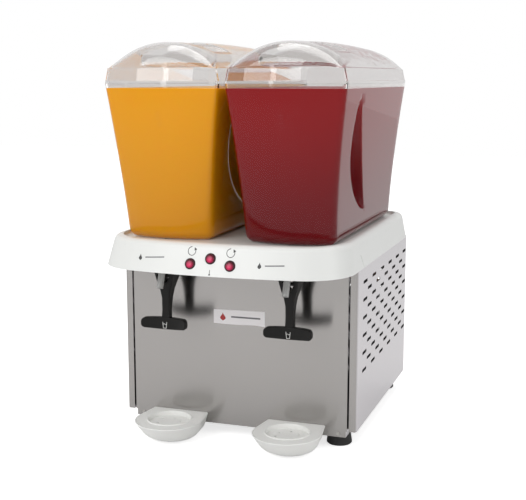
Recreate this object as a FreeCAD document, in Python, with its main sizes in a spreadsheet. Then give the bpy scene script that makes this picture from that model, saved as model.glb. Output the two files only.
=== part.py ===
# Twin-tank refrigerated juice dispenser, in millimetres.
# It stands on its feet at z = 0 and faces -Y, with the origin under the middle of the whole object.
# Left and right are as seen from the front.
import FreeCAD
import Part
import Sketcher
import math
import os
from types import SimpleNamespace

from FreeCAD import Placement, Rotation, Vector

SIZES = {
    # cabinet of folded sheet steel
    "cabinet_width": 390.0,
    "cabinet_depth": 372.4,
    "panel_height": 261.0,
    "sheet_gauge": 1.2,
    "post_width": 12.0,
    "post_gap": 3.0,
    "post_radius": 4.0,
    "flange_width": 30.0,
    "return_depth": 12.0,
    "tray_height": 10.0,
    "tray_side_inset": 17.0,
    "slot_length": 27.0,
    "slot_width": 5.0,
    "slot_pitch_depth": 60.7,
    "slot_pitch_rise": 28.4,
    "slot_first_back": 47.0,
    "slot_top_drop": 30.0,
    # feet
    "foot_height": 18.0,
    "foot_radius": 20.0,
    "foot_side_inset": 34.0,
    "foot_end_inset": 28.0,
    "foot_screw_radius": 3.0,
    # top cover
    "cover_overhang": 3.5,
    "cover_reach": 122.5,
    "cover_rear": 376.0,
    "cover_height": 45.5,
    "cover_overlap": 4.5,
    "cover_side_draft": 7.5,
    "cover_front_rake": 16.0,
    "cover_corner": 78.0,
    "cover_rear_corner": 32.0,
    "cover_bow": 9.0,
    "cover_wall": 2.6,
    "cover_top_round": 10.5,
    "rim_width": 11.5,
    "rim_height": 6.0,
    "slit_width": 1.0,
    # push buttons in the apron
    "button_spacing": 31.2,
    "button_rise": 16.5,
    "button_middle_lift": 8.7,
    "button_radius": 6.4,
    "bezel_radius": 8.4,
    "barrel_radius": 7.3,
    "barrel_length": 20.0,
    # tanks
    "tank_gap": 8.6,
    "tank_taper": 43.4,
    "tank_height": 237.7,
    "tank_bottom_reach": 54.0,
    "tank_top_reach": 81.0,
    "tank_bottom_rear": 340.0,
    "tank_top_rear": 355.0,
    "tank_bottom_corner": 16.0,
    "tank_top_corner": 8.5,
    "tank_bottom_bow": 22.0,
    "tank_top_bow": 15.0,
    "tank_wall": 3.0,
    "tank_floor": 3.4,
    "tank_bottom_round": 13.5,
    "scoop_depth": 17.3,
    "scoop_height": 180.0,
    "scoop_drop": 20.0,
    "scoop_reach": 32.0,
    "scoop_riser": 4.0,
    "outlet_reach": 35.5,
    "outlet_radius": 6.0,
    # lids
    "lid_skirt": 23.0,
    "lid_rise": 37.5,
    "lid_lean": 4.5,
    "lid_bulge": 4.5,
    "lid_wall": 2.5,
    "lid_lip": 6.0,
    "lid_end_round": 34.0,
    "pocket_margin": 32.7,
    "pocket_length": 78.0,
    "pocket_inset": 76.0,
    "pocket_depth": 32.5,
    # evaporators, seals and stirrers
    "evaporator_back": 150.0,
    "evaporator_height": 120.0,
    "evaporator_wall": 2.0,
    "flange_margin": 11.5,
    "flange_ring": 13.0,
    "seal_height": 4.0,
    "impeller_clearance": 9.0,
    "shaft_radius": 3.0,
    "motor_margin": 28.0,
    "stirrer_motor_length": 48.0,
    # taps
    "tap_splay": 7.8,
    "pivot_reach": 62.5,
    "pivot_drop": 19.4,
    "pivot_radius": 2.5,
    "lever_length": 111.5,
    "paddle_width": 76.0,
    "paddle_height": 19.2,
    "paddle_thickness": 9.0,
    "stem_width": 13.0,
    "fork_width": 32.0,
    "fork_slot": 18.0,
    "spout_tilt": 22.5,
    "spout_end_reach": 71.0,
    "spout_end_drop": 70.4,
    "spout_radius": 5.2,
    "spout_bore": 3.6,
    # drip cups
    "cup_splay": 2.0,
    "cup_rim_height": 35.0,
    "cup_bottom_height": 3.5,
    "cup_rim_radius": 54.5,
    "cup_bottom_radius": 41.0,
    "cup_back_width": 95.0,
    "cup_wall": 2.5,
    "cup_corner": 4.0,
    "cup_bottom_round": 13.0,
    "well_radius": 34.0,
    "well_depth": 5.5,
    "tongue_width": 50.0,
    "tongue_thickness": 3.0,
    # cooling unit
    "compressor_radius": 62.0,
    "compressor_height": 140.0,
    "condenser_width": 24.0,
    "condenser_length": 230.0,
    "condenser_height": 190.0,
    "fan_radius": 72.0,
    "fan_back": 180.0,
    "pipe_radius": 3.2,
    "gland_bore": 4.25,
}

FIT = 0.06
CLEAR = 0.3
LEFT, RIGHT = -1, 1
SIDES = {"left": LEFT, "right": RIGHT}


class Size:
    """A length that carries its number and the spreadsheet formula that gives it."""

    def __init__(self, value, text):
        self.value = value
        self.text = text

    def __float__(self):
        return float(self.value)

    def __add__(self, other):
        return combine(self, other, "+", self.value + float(other))

    def __radd__(self, other):
        return combine(other, self, "+", float(other) + self.value)

    def __sub__(self, other):
        return combine(self, other, "-", self.value - float(other))

    def __rsub__(self, other):
        return combine(other, self, "-", float(other) - self.value)

    def __mul__(self, other):
        return combine(self, other, "*", self.value * float(other))

    def __rmul__(self, other):
        return combine(other, self, "*", float(other) * self.value)

    def __truediv__(self, other):
        return combine(self, other, "/", self.value / float(other))

    def __neg__(self):
        return Size(-self.value, f"(-1 * {self.text})")


def text_of(value):
    """The formula text of a Size, or of a plain number."""
    return value.text if isinstance(value, Size) else repr(float(value))


def combine(first, second, sign, value):
    """Join two lengths in one formula."""
    return Size(value, f"({text_of(first)} {sign} {text_of(second)})")


def make_sheet():
    """Put the driving sizes in a spreadsheet and return them as Size objects."""
    sheet = doc.addObject("Spreadsheet::Sheet", "Sizes")
    for row, (name, value) in enumerate(SIZES.items(), start=1):
        sheet.set(f"A{row}", name)
        sheet.set(f"B{row}", str(value))
        sheet.setAlias(f"B{row}", name)
    doc.recompute()
    return SimpleNamespace(**{n: Size(float(sheet.get(n)), f"Sizes.{n}") for n in SIZES})


def tie_widths():
    """Widths that follow the cabinet's, so that the two tanks always fill its top."""
    size.cover_width = size.cabinet_width + size.cover_overhang * 2
    size.tank_spacing = size.cabinet_width / 2
    size.tank_top_width = size.tank_spacing - size.tank_gap
    size.tank_bottom_width = size.tank_top_width - size.tank_taper
    size.pocket_width = size.tank_top_width - size.pocket_margin * 2
    size.evaporator_flange = size.tank_bottom_width / 2 - size.flange_margin
    size.evaporator_radius = size.evaporator_flange - size.flange_ring
    size.impeller_radius = size.evaporator_radius - size.impeller_clearance
    size.stirrer_motor_radius = size.evaporator_flange - size.motor_margin
    size.tap_spacing = size.tank_spacing + size.tap_splay
    size.cup_spacing = size.tank_spacing + size.cup_splay


# Binding and primitives

def bind(obj, path, value):
    """Bind one property of an object to its formula, or set it where it is a plain number."""
    if isinstance(value, Size):
        obj.setExpression(path, value.text)
    else:
        obj.setExpression(path, repr(float(value)))


def place(obj, at, rotation=Rotation()):
    """Turn an object and bind its place."""
    obj.Placement = Placement(Vector(*[float(v) for v in at]), rotation)
    for axis, value in zip("xyz", at):
        bind(obj, f"Placement.Base.{axis}", value)


def box(at, size, name="block"):
    """A box from its lowest corner and its three sizes."""
    obj = doc.addObject("Part::Box", name)
    for prop, value in zip(("Length", "Width", "Height"), size):
        bind(obj, prop, value)
    place(obj, at)
    return obj


def slab(x_pair, y_pair, z_pair, name="slab"):
    """A box between two limits on each axis."""
    at = (x_pair[0], y_pair[0], z_pair[0])
    size = (x_pair[1] - x_pair[0], y_pair[1] - y_pair[0], z_pair[1] - z_pair[0])
    return box(at, size, name)


TURNS = {
    "x": Rotation(Vector(0, 1, 0), 90),
    "y": Rotation(Vector(1, 0, 0), -90),
    "z": Rotation(),
}


def cylinder(at, radius, height, along="z", name="round"):
    """A cylinder from the middle of its start face, along a row axis."""
    obj = doc.addObject("Part::Cylinder", name)
    bind(obj, "Radius", radius)
    bind(obj, "Height", height)
    place(obj, at, TURNS[along])
    return obj


def fused(parts, name="joined"):
    """Several pieces as one solid."""
    obj = doc.addObject("Part::MultiFuse", name)
    obj.Shapes = parts
    return obj


def group(parts, name="set"):
    """Separate solids that share one node."""
    obj = doc.addObject("Part::Compound", name)
    obj.Links = parts
    return obj


def cut(base, tools, name="cut"):
    """A piece less its cutting tools."""
    obj = doc.addObject("Part::Cut", name)
    obj.Base = base
    obj.Tool = tools[0] if len(tools) == 1 else fused(tools, name + "_tools")
    return obj


def computed(shape, name="computed"):
    """A piece whose surface is worked out from the sizes by formula."""
    obj = doc.addObject("Part::Feature", name)
    obj.Shape = shape
    return obj


NODES = {}


def node(obj, label):
    """Name a finished piece."""
    obj.Label = label
    NODES[label] = obj
    return obj


# Sketched bodies

def plane_of(body, role):
    """One of a body's own origin planes or axes."""
    return next(f for f in body.Origin.OriginFeatures if f.Role == role)


def new_body(name):
    return doc.addObject("PartDesign::Body", name + "_body")


def sketch(body, role, corners):
    """A closed polygon on a plane of its body, every corner bound to its formula."""
    obj = body.newObject("Sketcher::SketchObject", "outline")
    obj.AttachmentSupport = (plane_of(body, role), [""])
    obj.MapMode = "FlatFace"
    add_polygon(obj, corners)
    return obj


def add_polygon(obj, corners):
    """Add one closed polygon to a sketch."""
    first = obj.GeometryCount
    count = len(corners)
    spots = [Vector(float(x), float(y), 0) for x, y in corners]
    for i in range(count):
        obj.addGeometry(Part.LineSegment(spots[i], spots[(i + 1) % count]), False)
    for i in range(count):
        after = first + (i + 1) % count
        obj.addConstraint(Sketcher.Constraint("Coincident", first + i, 2, after, 1))
    for i, corner in enumerate(corners):
        for kind, value, axis in zip(("DistanceX", "DistanceY"), corner, (-2, -1)):
            if not isinstance(value, Size) and value == 0:
                obj.addConstraint(Sketcher.Constraint("PointOnObject", first + i, 1, axis))
                continue
            index = obj.addConstraint(Sketcher.Constraint(kind, -1, 1, first + i, 1, float(value)))
            obj.setExpression(f"Constraints[{index}]", text_of(value))


def add_slot(obj, middle, length, width):
    """Add one oblong hole to a sketch, lying along its first axis."""
    first = obj.GeometryCount
    x, y = (float(v) for v in middle)
    half = float(length) / 2 - float(width) / 2
    radius = float(width) / 2
    top_line = Part.LineSegment(Vector(x - half, y + radius, 0), Vector(x + half, y + radius, 0))
    low_line = Part.LineSegment(Vector(x + half, y - radius, 0), Vector(x - half, y - radius, 0))
    right = Part.ArcOfCircle(
        Part.Circle(Vector(x + half, y, 0), Vector(0, 0, 1), radius), -math.pi / 2, math.pi / 2)
    left = Part.ArcOfCircle(
        Part.Circle(Vector(x - half, y, 0), Vector(0, 0, 1), radius), math.pi / 2, 1.5 * math.pi)
    for shape in (top_line, right, low_line, left):
        obj.addGeometry(shape, False)
    top, end, low, start = range(first, first + 4)
    for pair in ((top, 2, end, 2), (end, 1, low, 1), (low, 2, start, 2), (start, 1, top, 1)):
        obj.addConstraint(Sketcher.Constraint("Tangent", *pair))
    obj.addConstraint(Sketcher.Constraint("Horizontal", top))
    rules = (
        (Sketcher.Constraint("DistanceX", -1, 1, start, 3, x - half),
         middle[0] - length / 2 + width / 2),
        (Sketcher.Constraint("DistanceX", -1, 1, end, 3, x + half),
         middle[0] + length / 2 - width / 2),
        (Sketcher.Constraint("DistanceY", -1, 1, start, 3, y), middle[1]),
        (Sketcher.Constraint("Radius", start, radius), width / 2),
    )
    for rule, value in rules:
        index = obj.addConstraint(rule)
        obj.setExpression(f"Constraints[{index}]", text_of(value))


def pad(body, profile, length):
    obj = body.newObject("PartDesign::Pad", "pad")
    obj.Profile = profile
    bind(obj, "Length", length)
    return obj


def pocket(body, profile):
    """Cut a sketch right through its body, both ways."""
    obj = body.newObject("PartDesign::Pocket", "pocket")
    obj.Profile = profile
    obj.SideType = "Symmetric"
    obj.Type = "ThroughAll"
    return obj


def revolved(name, corners, at, rotation=Rotation(), role="XZ_Plane"):
    """A body turned about its own upright axis from a half section."""
    body = new_body(name)
    profile = sketch(body, role, corners)
    obj = body.newObject("PartDesign::Revolution", "turned")
    obj.Profile = profile
    obj.ReferenceAxis = (profile, ["V_Axis"])
    obj.Angle = 360
    place(body, at, rotation)
    return body


def round_edges(body, feature, picks, radius):
    """Round the edges of a feature for which the test holds."""
    doc.recompute()
    names = [f"Edge{i}" for i, edge in enumerate(feature.Shape.Edges, start=1) if picks(edge)]
    obj = body.newObject("PartDesign::Fillet", "rounded")
    obj.Base = (feature, names)
    bind(obj, "Radius", radius)
    return obj


# Outlines worked out by formula

def arc_between(start, middle, end):
    return Part.Arc(start, middle, end).toShape()


def line_between(start, end):
    return Part.LineSegment(start, end).toShape()


def side_start(half, front, corner, bow):
    """The y at which a bowed outline's front corner meets its side."""
    turn = math.radians(bow)
    end_x = half - corner + corner * math.sin(turn)
    return front + end_x * math.tan(turn / 2) + corner * math.cos(turn)


def bowed_outline(centre_x, half, front, rear, corner, rear_corner, bow, level):
    """A plan outline whose front bows forward and meets the sides in tangent corner arcs.

    The bow is half the angle that the front arc turns through, in degrees, and front is the y of
    its middle.
    """
    turn = math.radians(bow)
    centre_y = side_start(half, front, corner, bow)
    middle = (math.pi / 2 - turn) / 2

    def spot(x, y):
        return Vector(centre_x + x, y, level)

    def corner_spot(sign, angle):
        return spot(sign * (half - corner + corner * math.cos(angle)),
                    centre_y - corner * math.sin(angle))

    def rear_spot(sign, angle):
        return spot(sign * (half - rear_corner + rear_corner * math.cos(angle)),
                    rear - rear_corner + rear_corner * math.sin(angle))

    quarter = math.pi / 2
    edges = [
        line_between(rear_spot(-1, 0), corner_spot(-1, 0)),
        arc_between(corner_spot(-1, 0), corner_spot(-1, middle), corner_spot(-1, quarter - turn)),
        arc_between(corner_spot(-1, quarter - turn), spot(0, front), corner_spot(1, quarter - turn)),
        arc_between(corner_spot(1, quarter - turn), corner_spot(1, middle), corner_spot(1, 0)),
        line_between(corner_spot(1, 0), rear_spot(1, 0)),
        arc_between(rear_spot(1, 0), rear_spot(1, quarter / 2), rear_spot(1, quarter)),
        line_between(rear_spot(1, quarter), rear_spot(-1, quarter)),
        arc_between(rear_spot(-1, quarter), rear_spot(-1, quarter / 2), rear_spot(-1, 0)),
    ]
    return Part.Wire(edges)


def edges_at(shape, level, tolerance=0.01):
    """The edges of a shape that lie at one height."""
    return [e for e in shape.Edges if abs(e.BoundBox.ZMin - level) < tolerance
            and abs(e.BoundBox.ZMax - level) < tolerance]


def rounded_corner(before, corner, after, radius):
    """Start, middle and end of the tangent arc that rounds one corner of a path."""
    inward = (before - corner).normalize()
    onward = (after - corner).normalize()
    half_angle = inward.getAngle(onward) / 2
    reach = radius / math.tan(half_angle)
    bisector = (inward + onward).normalize()
    middle = corner + bisector * (radius / math.sin(half_angle) - radius)
    return corner + inward * reach, middle, corner + onward * reach


def pipe(points, radius, bend):
    """A round line along straight runs joined by tangent arcs."""
    spots = [Vector(*[float(v) for v in p]) for p in points]
    edges = []
    at = spots[0]
    for before, here, after in zip(spots, spots[1:], spots[2:]):
        start, middle, end = rounded_corner(before, here, after, bend)
        edges.append(line_between(at, start))
        edges.append(arc_between(start, middle, end))
        at = end
    edges.append(line_between(at, spots[-1]))
    path = Part.Wire(edges)
    direction = spots[1] - spots[0]
    section = Part.Wire([Part.makeCircle(radius, spots[0], direction)])
    return path.makePipeShell([section], True, True)


# Levels and places shared by many pieces

def shared_places():
    """Heights, and depths behind the front panel's face, that pieces meet at."""
    p = SimpleNamespace()
    p.front = (size.cover_reach - size.cover_rear) / 2
    p.rear = p.front + size.cabinet_depth
    p.panel_bottom = size.foot_height + size.tray_height
    p.panel_top = p.panel_bottom + size.panel_height
    p.cover_edge = p.panel_top - size.cover_overlap
    p.rim = p.cover_edge + size.cover_height
    p.deck = p.rim - size.rim_height
    p.deck_under = p.deck - size.cover_wall
    p.half_width = size.cabinet_width / 2
    p.panel_half = p.half_width - size.post_width - size.post_gap
    p.tray_floor = size.foot_height + size.sheet_gauge
    p.tank_bottom = p.deck + CLEAR
    p.tank_top = p.tank_bottom + size.tank_height
    p.lid_bottom = p.tank_top
    p.evaporator_y = p.front + size.evaporator_back
    p.evaporator_top = p.deck + size.evaporator_height
    p.flange_under = p.deck_under - size.sheet_gauge * 3
    p.pivot_y = p.front - size.pivot_reach
    p.pivot_z = p.deck_under - size.pivot_drop
    p.outlet_y = p.front - size.outlet_reach
    return p


# Cabinet

def make_base_tray():
    half = at.half_width - size.tray_side_inset
    front = at.front + 0.5
    rear = at.rear - size.sheet_gauge * 2
    wall = size.sheet_gauge
    outer = slab((-half, half), (front, rear), (size.foot_height, at.panel_bottom))
    inner = slab((-half + wall, half - wall), (front + wall, rear - wall),
                 (at.tray_floor, at.panel_bottom + 1))
    holes = []
    for x, y in foot_spots().values():
        holes.append(cylinder((x, y, size.foot_height - 1), size.foot_screw_radius + 0.1, 4))
    slot_half = size.tongue_width / 2 + CLEAR
    slot_low, slot_high = tongue_levels(0.05)
    for sign in SIDES.values():
        x = cup_x(sign)
        holes.append(slab((x - slot_half, x + slot_half), (front - 1, front + 4),
                          (slot_low, slot_high)))
    for sign in SIDES.values():
        holes.append(cylinder((sign * (half - LIP_SCREW_INSET), front - 1, lip_screw_level()),
                              LIP_SCREW_RADIUS, 4, "y"))
    node(cut(outer, [inner] + holes), "base_tray")


LIP_SCREW_INSET = 12.0
LIP_SCREW_RADIUS = 1.6


def lip_screw_level():
    return size.foot_height + size.tray_height * 0.56


def tongue_levels(gap):
    """Height limits of a drip cup's tongue, widened by a gap."""
    middle = size.foot_height + size.tray_height / 2
    half = size.tongue_thickness / 2 + gap
    return middle - half, middle + half


def foot_spots():
    x = at.half_width - size.foot_side_inset
    near = at.front + size.foot_end_inset
    far = at.rear - size.foot_end_inset
    return {"front_left": (-x, near), "front_right": (x, near),
            "rear_left": (-x, far), "rear_right": (x, far)}


def make_feet():
    """Rubber feet, and the screws sunk in them."""
    radius = size.foot_radius
    tall = size.foot_height
    hole = size.foot_screw_radius + 0.1
    recess = size.foot_screw_radius * 2.4
    seat = tall * 0.5
    section = [(recess, 0), (radius - 1.5, 0), (radius, 1.5), (radius, 4.0), (radius - 2, tall),
               (hole, tall), (hole, seat), (recess, seat)]
    screws = []
    for name, (x, y) in foot_spots().items():
        node(revolved("foot", section, (x, y, 0)), "foot_" + name)
        head = cylinder((x, y, seat - 3), recess * 0.8, 3)
        shank = cylinder((x, y, seat), size.foot_screw_radius, tall - seat + 6)
        nut = cylinder((x, y, at.tray_floor), size.foot_screw_radius * 1.8, 4)
        screws.append(fused([head, shank, nut]))
    return screws


def make_front_panel():
    """The flat front sheet, with its side, top and bottom edges folded back."""
    wall = size.sheet_gauge
    half = at.panel_half
    fold = size.return_depth - 2
    low, high = at.panel_bottom, at.panel_top
    front = at.front
    face = slab((-half, half), (front, front + wall), (low, high))
    side_folds = [slab((x, x + wall), (front, front + fold), (low, high))
                  for x in (-half, half - wall)]
    level_folds = [slab((-half, half), (front, front + fold), (z, z + wall))
                   for z in (low, high - wall)]
    node(fused([face] + side_folds + level_folds), "front_panel")


def make_side_panel(name, sign):
    """A folded side sheet: rounded front post, rear return, top and bottom flanges, vent slots."""
    wall = size.sheet_gauge
    outer = at.half_width
    inner = outer - size.post_width
    depth = size.return_depth
    length = size.cabinet_depth
    body = new_body("side")
    ring = [(inner, 0), (outer, 0), (outer, length), (inner, length),
            (inner, length - wall), (outer - wall, length - wall), (outer - wall, wall),
            (inner + wall, wall), (inner + wall, depth), (inner, depth)]
    mirrored = [(sign * x, y) for x, y in ring]
    sheet = pad(body, sketch(body, "XY_Plane", mirrored), size.panel_height)
    reach = float(outer)

    def is_outer_corner(edge):
        bounds = edge.BoundBox
        return bounds.ZLength > 1 and abs(abs(bounds.Center.x) - reach) < 0.01

    def is_inner_corner(edge):
        bounds = edge.BoundBox
        return bounds.ZLength > 1 and abs(abs(bounds.Center.x) - reach + float(wall)) < 0.01

    outer_round = round_edges(body, sheet, is_outer_corner, size.post_radius)
    round_edges(body, outer_round, is_inner_corner, size.post_radius - wall)
    edge = outer - size.flange_width
    flange = [(edge, depth + 0.6), (outer - wall / 2, depth + 0.6),
              (outer - wall / 2, length - wall - 4), (edge, length - wall - 4)]
    mirrored = [(sign * x, y) for x, y in flange]
    pad(body, sketch(body, "XY_Plane", mirrored), wall)
    top = sketch(body, "XY_Plane", mirrored)
    bind(top, "AttachmentOffset.Base.z", size.panel_height - wall)
    pad(body, top, wall)
    add_vent_slots(body)
    place(body, (0, at.front, at.panel_bottom))
    node(cut(body, [corner_trim()]), "side_panel_" + name)


def corner_trim():
    """What stands outside the cover's rounded rear corners, where panels reach up into it."""
    low = float(at.cover_edge) - CLEAR
    high = float(at.panel_top) + 1
    half = float(at.half_width) + 10
    rear = float(at.rear)
    block = Part.makeBox(half * 2, 80, high - low, Vector(-half, rear - 70, low))
    wall = float(size.cover_wall)
    keep = cover_solid(wall + 0.1, low - 1, float(at.deck_under), float(size.cover_top_round) - wall)
    return computed(block.cut(keep), "corner_trim")


def add_vent_slots(body):
    """Two interleaved grids of oblong slots, cut through the side sheet."""
    first = size.slot_first_back
    top = size.panel_height - size.slot_top_drop
    grids = ((first, top, 6, 7),
             (first + size.slot_pitch_depth / 2, top - size.slot_pitch_rise / 2, 5, 6))
    for middle_y, middle_z, columns, rows in grids:
        profile = body.newObject("Sketcher::SketchObject", "slot")
        profile.AttachmentSupport = (plane_of(body, "YZ_Plane"), [""])
        profile.MapMode = "FlatFace"
        add_slot(profile, (middle_y, middle_z), size.slot_length, size.slot_width)
        opening = pocket(body, profile)
        doc.recompute()
        pattern = body.newObject("PartDesign::LinearPattern", "slots")
        pattern.Originals = [opening]
        pattern.Direction = (plane_of(body, "Y_Axis"), [""])
        pattern.Mode = "Spacing"
        bind(pattern, "Offset", size.slot_pitch_depth)
        pattern.Occurrences = columns
        pattern.Direction2 = (plane_of(body, "Z_Axis"), [""])
        pattern.Reversed2 = True
        pattern.Mode2 = "Spacing"
        bind(pattern, "Offset2", size.slot_pitch_rise)
        pattern.Occurrences2 = rows
        body.Tip = pattern


GRILLE_ROWS = 12
GRILLE_COLUMNS = 4


def make_rear_panel():
    """The rear sheet between the side panels' returns, with an air grille and a gland hole."""
    wall = size.sheet_gauge
    half = at.half_width - size.post_radius - 0.2
    rear = at.rear - wall
    low = at.panel_bottom + wall
    high = at.panel_top - wall
    face = slab((-half, half), (rear - wall, rear), (low, high))
    pitch = (high - low) / (GRILLE_ROWS + 4)
    run = size.cabinet_width * 0.17
    openings = []
    for column in range(GRILLE_COLUMNS):
        x = (column - (GRILLE_COLUMNS - 1) / 2) * (run + 12)
        for row in range(GRILLE_ROWS):
            z = low + pitch * (row + 3.5)
            openings.append(slab((x - run / 2, x + run / 2), (rear - wall - 2, rear + 2),
                                 (z, z + 4)))
    openings.append(cylinder((gland_x(), rear - wall - 2, gland_level()), GLAND_BODY_RADIUS + 0.1,
                             6, "y"))
    openings.append(corner_trim())
    node(cut(face, openings), "rear_panel")


GLAND_BODY_RADIUS = 8.0


def gland_x():
    return -(at.half_width - 60)


def gland_level():
    return at.panel_bottom + 22


def make_cord_gland():
    """The gland for the mains cord, held in the rear sheet from both sides."""
    wall = size.sheet_gauge
    outside = at.rear - wall
    inside = outside - wall
    x, z = gland_x(), gland_level()
    body = cylinder((x, inside - 12, z), GLAND_BODY_RADIUS, wall + 12 + wall, "y")
    nut = cylinder((x, inside - 5, z), GLAND_BODY_RADIUS + 4, 5, "y")
    bore = cylinder((x, inside - 20, z), size.gland_bore, 40, "y")
    node(cut(fused([body, nut]), [bore]), "cord_gland")


def make_panel_screws():
    """Round-head screws: two in the lip of the tray and four behind the rear returns."""
    wall = size.sheet_gauge
    screws = []
    lip = at.front + 0.5
    half = at.half_width - size.tray_side_inset
    for sign in SIDES.values():
        x = sign * (half - LIP_SCREW_INSET)
        head = cylinder((x, lip - 1.2, lip_screw_level()), LIP_SCREW_RADIUS * 1.7, 1.2, "y")
        shank = cylinder((x, lip, lip_screw_level()), LIP_SCREW_RADIUS, 6, "y")
        screws.append(fused([head, shank]))
    for sign in SIDES.values():
        for z in (at.panel_bottom + 40, at.panel_top - 40):
            x = sign * (at.half_width - size.post_width / 2)
            head = cylinder((x, at.rear - wall * 3.2, z), LIP_SCREW_RADIUS * 1.7, wall * 1.2, "y")
            screws.append(head)
    return screws


# Top cover

def cover_solid(inset, low, high, top_round):
    """The cover's outer or inner form, drafted from its lower edge to its deck."""
    rise = float(size.cover_height)
    wires = []
    for level in (low, high):
        share = (level - float(at.cover_edge)) / rise
        wires.append(bowed_outline(
            0, float(size.cover_width) / 2 - float(size.cover_side_draft) * share - inset,
            float(at.front) - float(size.cover_reach) + float(size.cover_front_rake) * share + inset,
            float(at.front) + float(size.cover_rear) - float(size.cover_side_draft) * share - inset,
            float(size.cover_corner) - inset, float(size.cover_rear_corner) - inset,
            float(size.cover_bow), level))
    solid = Part.makeLoft(wires, True, True)
    return solid.makeFillet(top_round, edges_at(solid, high))


def face_spot(x, rise):
    """A point on the apron's sloping face, at a rise above the cover's edge."""
    share = rise / float(size.cover_height)
    y = float(at.front) - float(size.cover_reach) + float(size.cover_front_rake) * share
    turn = math.radians(float(size.cover_bow))
    corner = float(size.cover_corner)
    bend = (float(size.cover_width) / 2 - corner) / math.sin(turn) + corner
    y += bend - math.sqrt(bend ** 2 - x ** 2)
    return Vector(x, y, float(at.cover_edge) + rise)


def apron_normal():
    """The way that the apron's face looks, forward and up."""
    return Vector(0, -float(size.cover_height), float(size.cover_front_rake)).normalize()


BEZEL_SEAT = 0.9


def button_frames():
    """Each button's middle on the seat sunk in the apron."""
    frames = {}
    spots = {"left": (-1, 0), "centre": (0, 1), "right": (1, 0)}
    for name, (side, lifted) in spots.items():
        rise = float(size.button_rise) + lifted * float(size.button_middle_lift)
        spot = face_spot(side * float(size.button_spacing), rise)
        frames[name] = spot - apron_normal() * BEZEL_SEAT
    return frames


def deck_recess():
    """The shallow tray sunk in the cover's top, inside its rim, where the tanks stand."""
    inset = float(size.rim_width)
    draft = float(size.cover_side_draft)
    low, high = float(at.deck), float(at.rim)
    plan = bowed_outline(
        0, float(size.cover_width) / 2 - draft - inset,
        float(at.front) - float(size.cover_reach) + float(size.cover_front_rake) + inset,
        float(at.front) + float(size.cover_rear) - draft - inset,
        float(size.cover_corner) - inset, float(size.cover_rear_corner) - inset,
        float(size.cover_bow), low)
    block = Part.Face(plan).extrude(Vector(0, 0, high + 1 - low))
    return block.makeFillet(DECK_ROUND, edges_at(block, low))


DECK_ROUND = 3.0
SLIT = ((11.0, 21.0), (14.5, 15.0), (19.0, 5.5), (27.5, -2.0))


def cover_slits():
    """Tools for the short curved slit that rises from the lower edge on each side."""
    width = float(size.slit_width)
    front, edge = float(at.front), float(at.cover_edge)
    reach = float(size.cover_width) / 2
    tools = []
    for start in (reach - 14, -reach - 2):
        path = [Vector(start, front + y, edge + z) for y, z in SLIT]
        back = [spot + Vector(0, width * 1.15, 0) for spot in reversed(path)]
        tools.append(polygon_face(path + back).extrude(Vector(16, 0, 0)))
    return tools


def make_top_cover():
    wall = float(size.cover_wall)
    low, high = float(at.cover_edge), float(at.deck)
    top_round = float(size.cover_top_round)
    outer = cover_solid(0, low, float(at.rim), top_round)
    inner = cover_solid(wall, low - 1, high - wall, top_round - wall)
    shell = outer.cut([inner, deck_recess()])
    tools = cover_slits()
    for sign in SIDES.values():
        x = sign * float(size.tank_spacing) / 2
        tools.append(Part.makeCylinder(float(size.evaporator_radius) + 2, wall + 4,
                                       Vector(x, float(at.evaporator_y), high - wall - 2)))
        x = sign * float(size.tap_spacing) / 2
        tools.append(Part.makeCylinder(float(size.outlet_radius) + 1.5, wall + 4,
                                       Vector(x, float(at.outlet_y), high - wall - 2)))
    normal = apron_normal()
    for spot in button_frames().values():
        tools.append(Part.makeCylinder(float(size.bezel_radius) + 0.1, 6, spot, normal))
        tools.append(Part.makeCylinder(float(size.barrel_radius) + 0.1, 12,
                                       spot - normal * 8, normal))
    node(computed(shell.cut(tools)), "top_cover")


def make_buttons():
    """Round push buttons: a barrel with a bezel, and a domed cap that slides in it."""
    radius = size.button_radius
    bore = radius + 0.1
    cap_depth = 10.0
    barrel = [(bore, 1.6), (bore, -cap_depth - 3.0), (0, -cap_depth - 3.0),
              (0, -size.barrel_length), (size.barrel_radius, -size.barrel_length),
              (size.barrel_radius, 0), (size.bezel_radius, 0), (size.bezel_radius, 1.2),
              (size.bezel_radius - 0.8, 2.2), (bore + 0.4, 2.2)]
    cap = [(0, -cap_depth), (radius, -cap_depth), (radius, 2.6), (radius - 1.0, 3.6),
           (radius - 3.0, 4.2), (0, 4.4)]
    tilt = Rotation(Vector(0, 0, 1), apron_normal())
    for name, spot in button_frames().items():
        for kind, section in (("switch_", barrel), ("button_", cap)):
            place_at = (spot.x, spot.y, spot.z)
            node(revolved(kind, section, place_at, tilt), kind + name)


# Tanks and lids

def tank_measures(level, inset):
    """Half width, front and rear y, corner radius and bow of a tank's plan at a height."""
    share = (level - float(at.tank_bottom)) / float(size.tank_height)
    low_half, high_half = float(size.tank_bottom_width) / 2, float(size.tank_top_width) / 2
    clamped = max(share, 0.0)
    half = low_half + (high_half - low_half) * clamped ** FLARE_POWER
    eased = share * (1 + 0.25 * (1 - share))
    reach = float(size.tank_bottom_reach)
    reach += (float(size.tank_top_reach) - float(size.tank_bottom_reach)) * eased
    rear = float(size.tank_bottom_rear)
    rear += (float(size.tank_top_rear) - float(size.tank_bottom_rear)) * share
    bow = float(size.tank_bottom_bow)
    bow += (float(size.tank_top_bow) - float(size.tank_bottom_bow)) * share
    corner = float(size.tank_bottom_corner) - inset
    corner += (float(size.tank_top_corner) - float(size.tank_bottom_corner)) * share
    return (half - inset, float(at.front) - reach + inset, float(at.front) + rear - inset,
            corner, bow)


FLARE_POWER = 1.5
TANK_STATIONS = 6


def tank_outline(x, level, inset):
    """A tank's plan at a height: it flares by a power of the height, and its front bow eases."""
    half, front, rear, corner, bow = tank_measures(level, inset)
    return bowed_outline(x, half, front, rear, corner, corner, bow, level)


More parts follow.
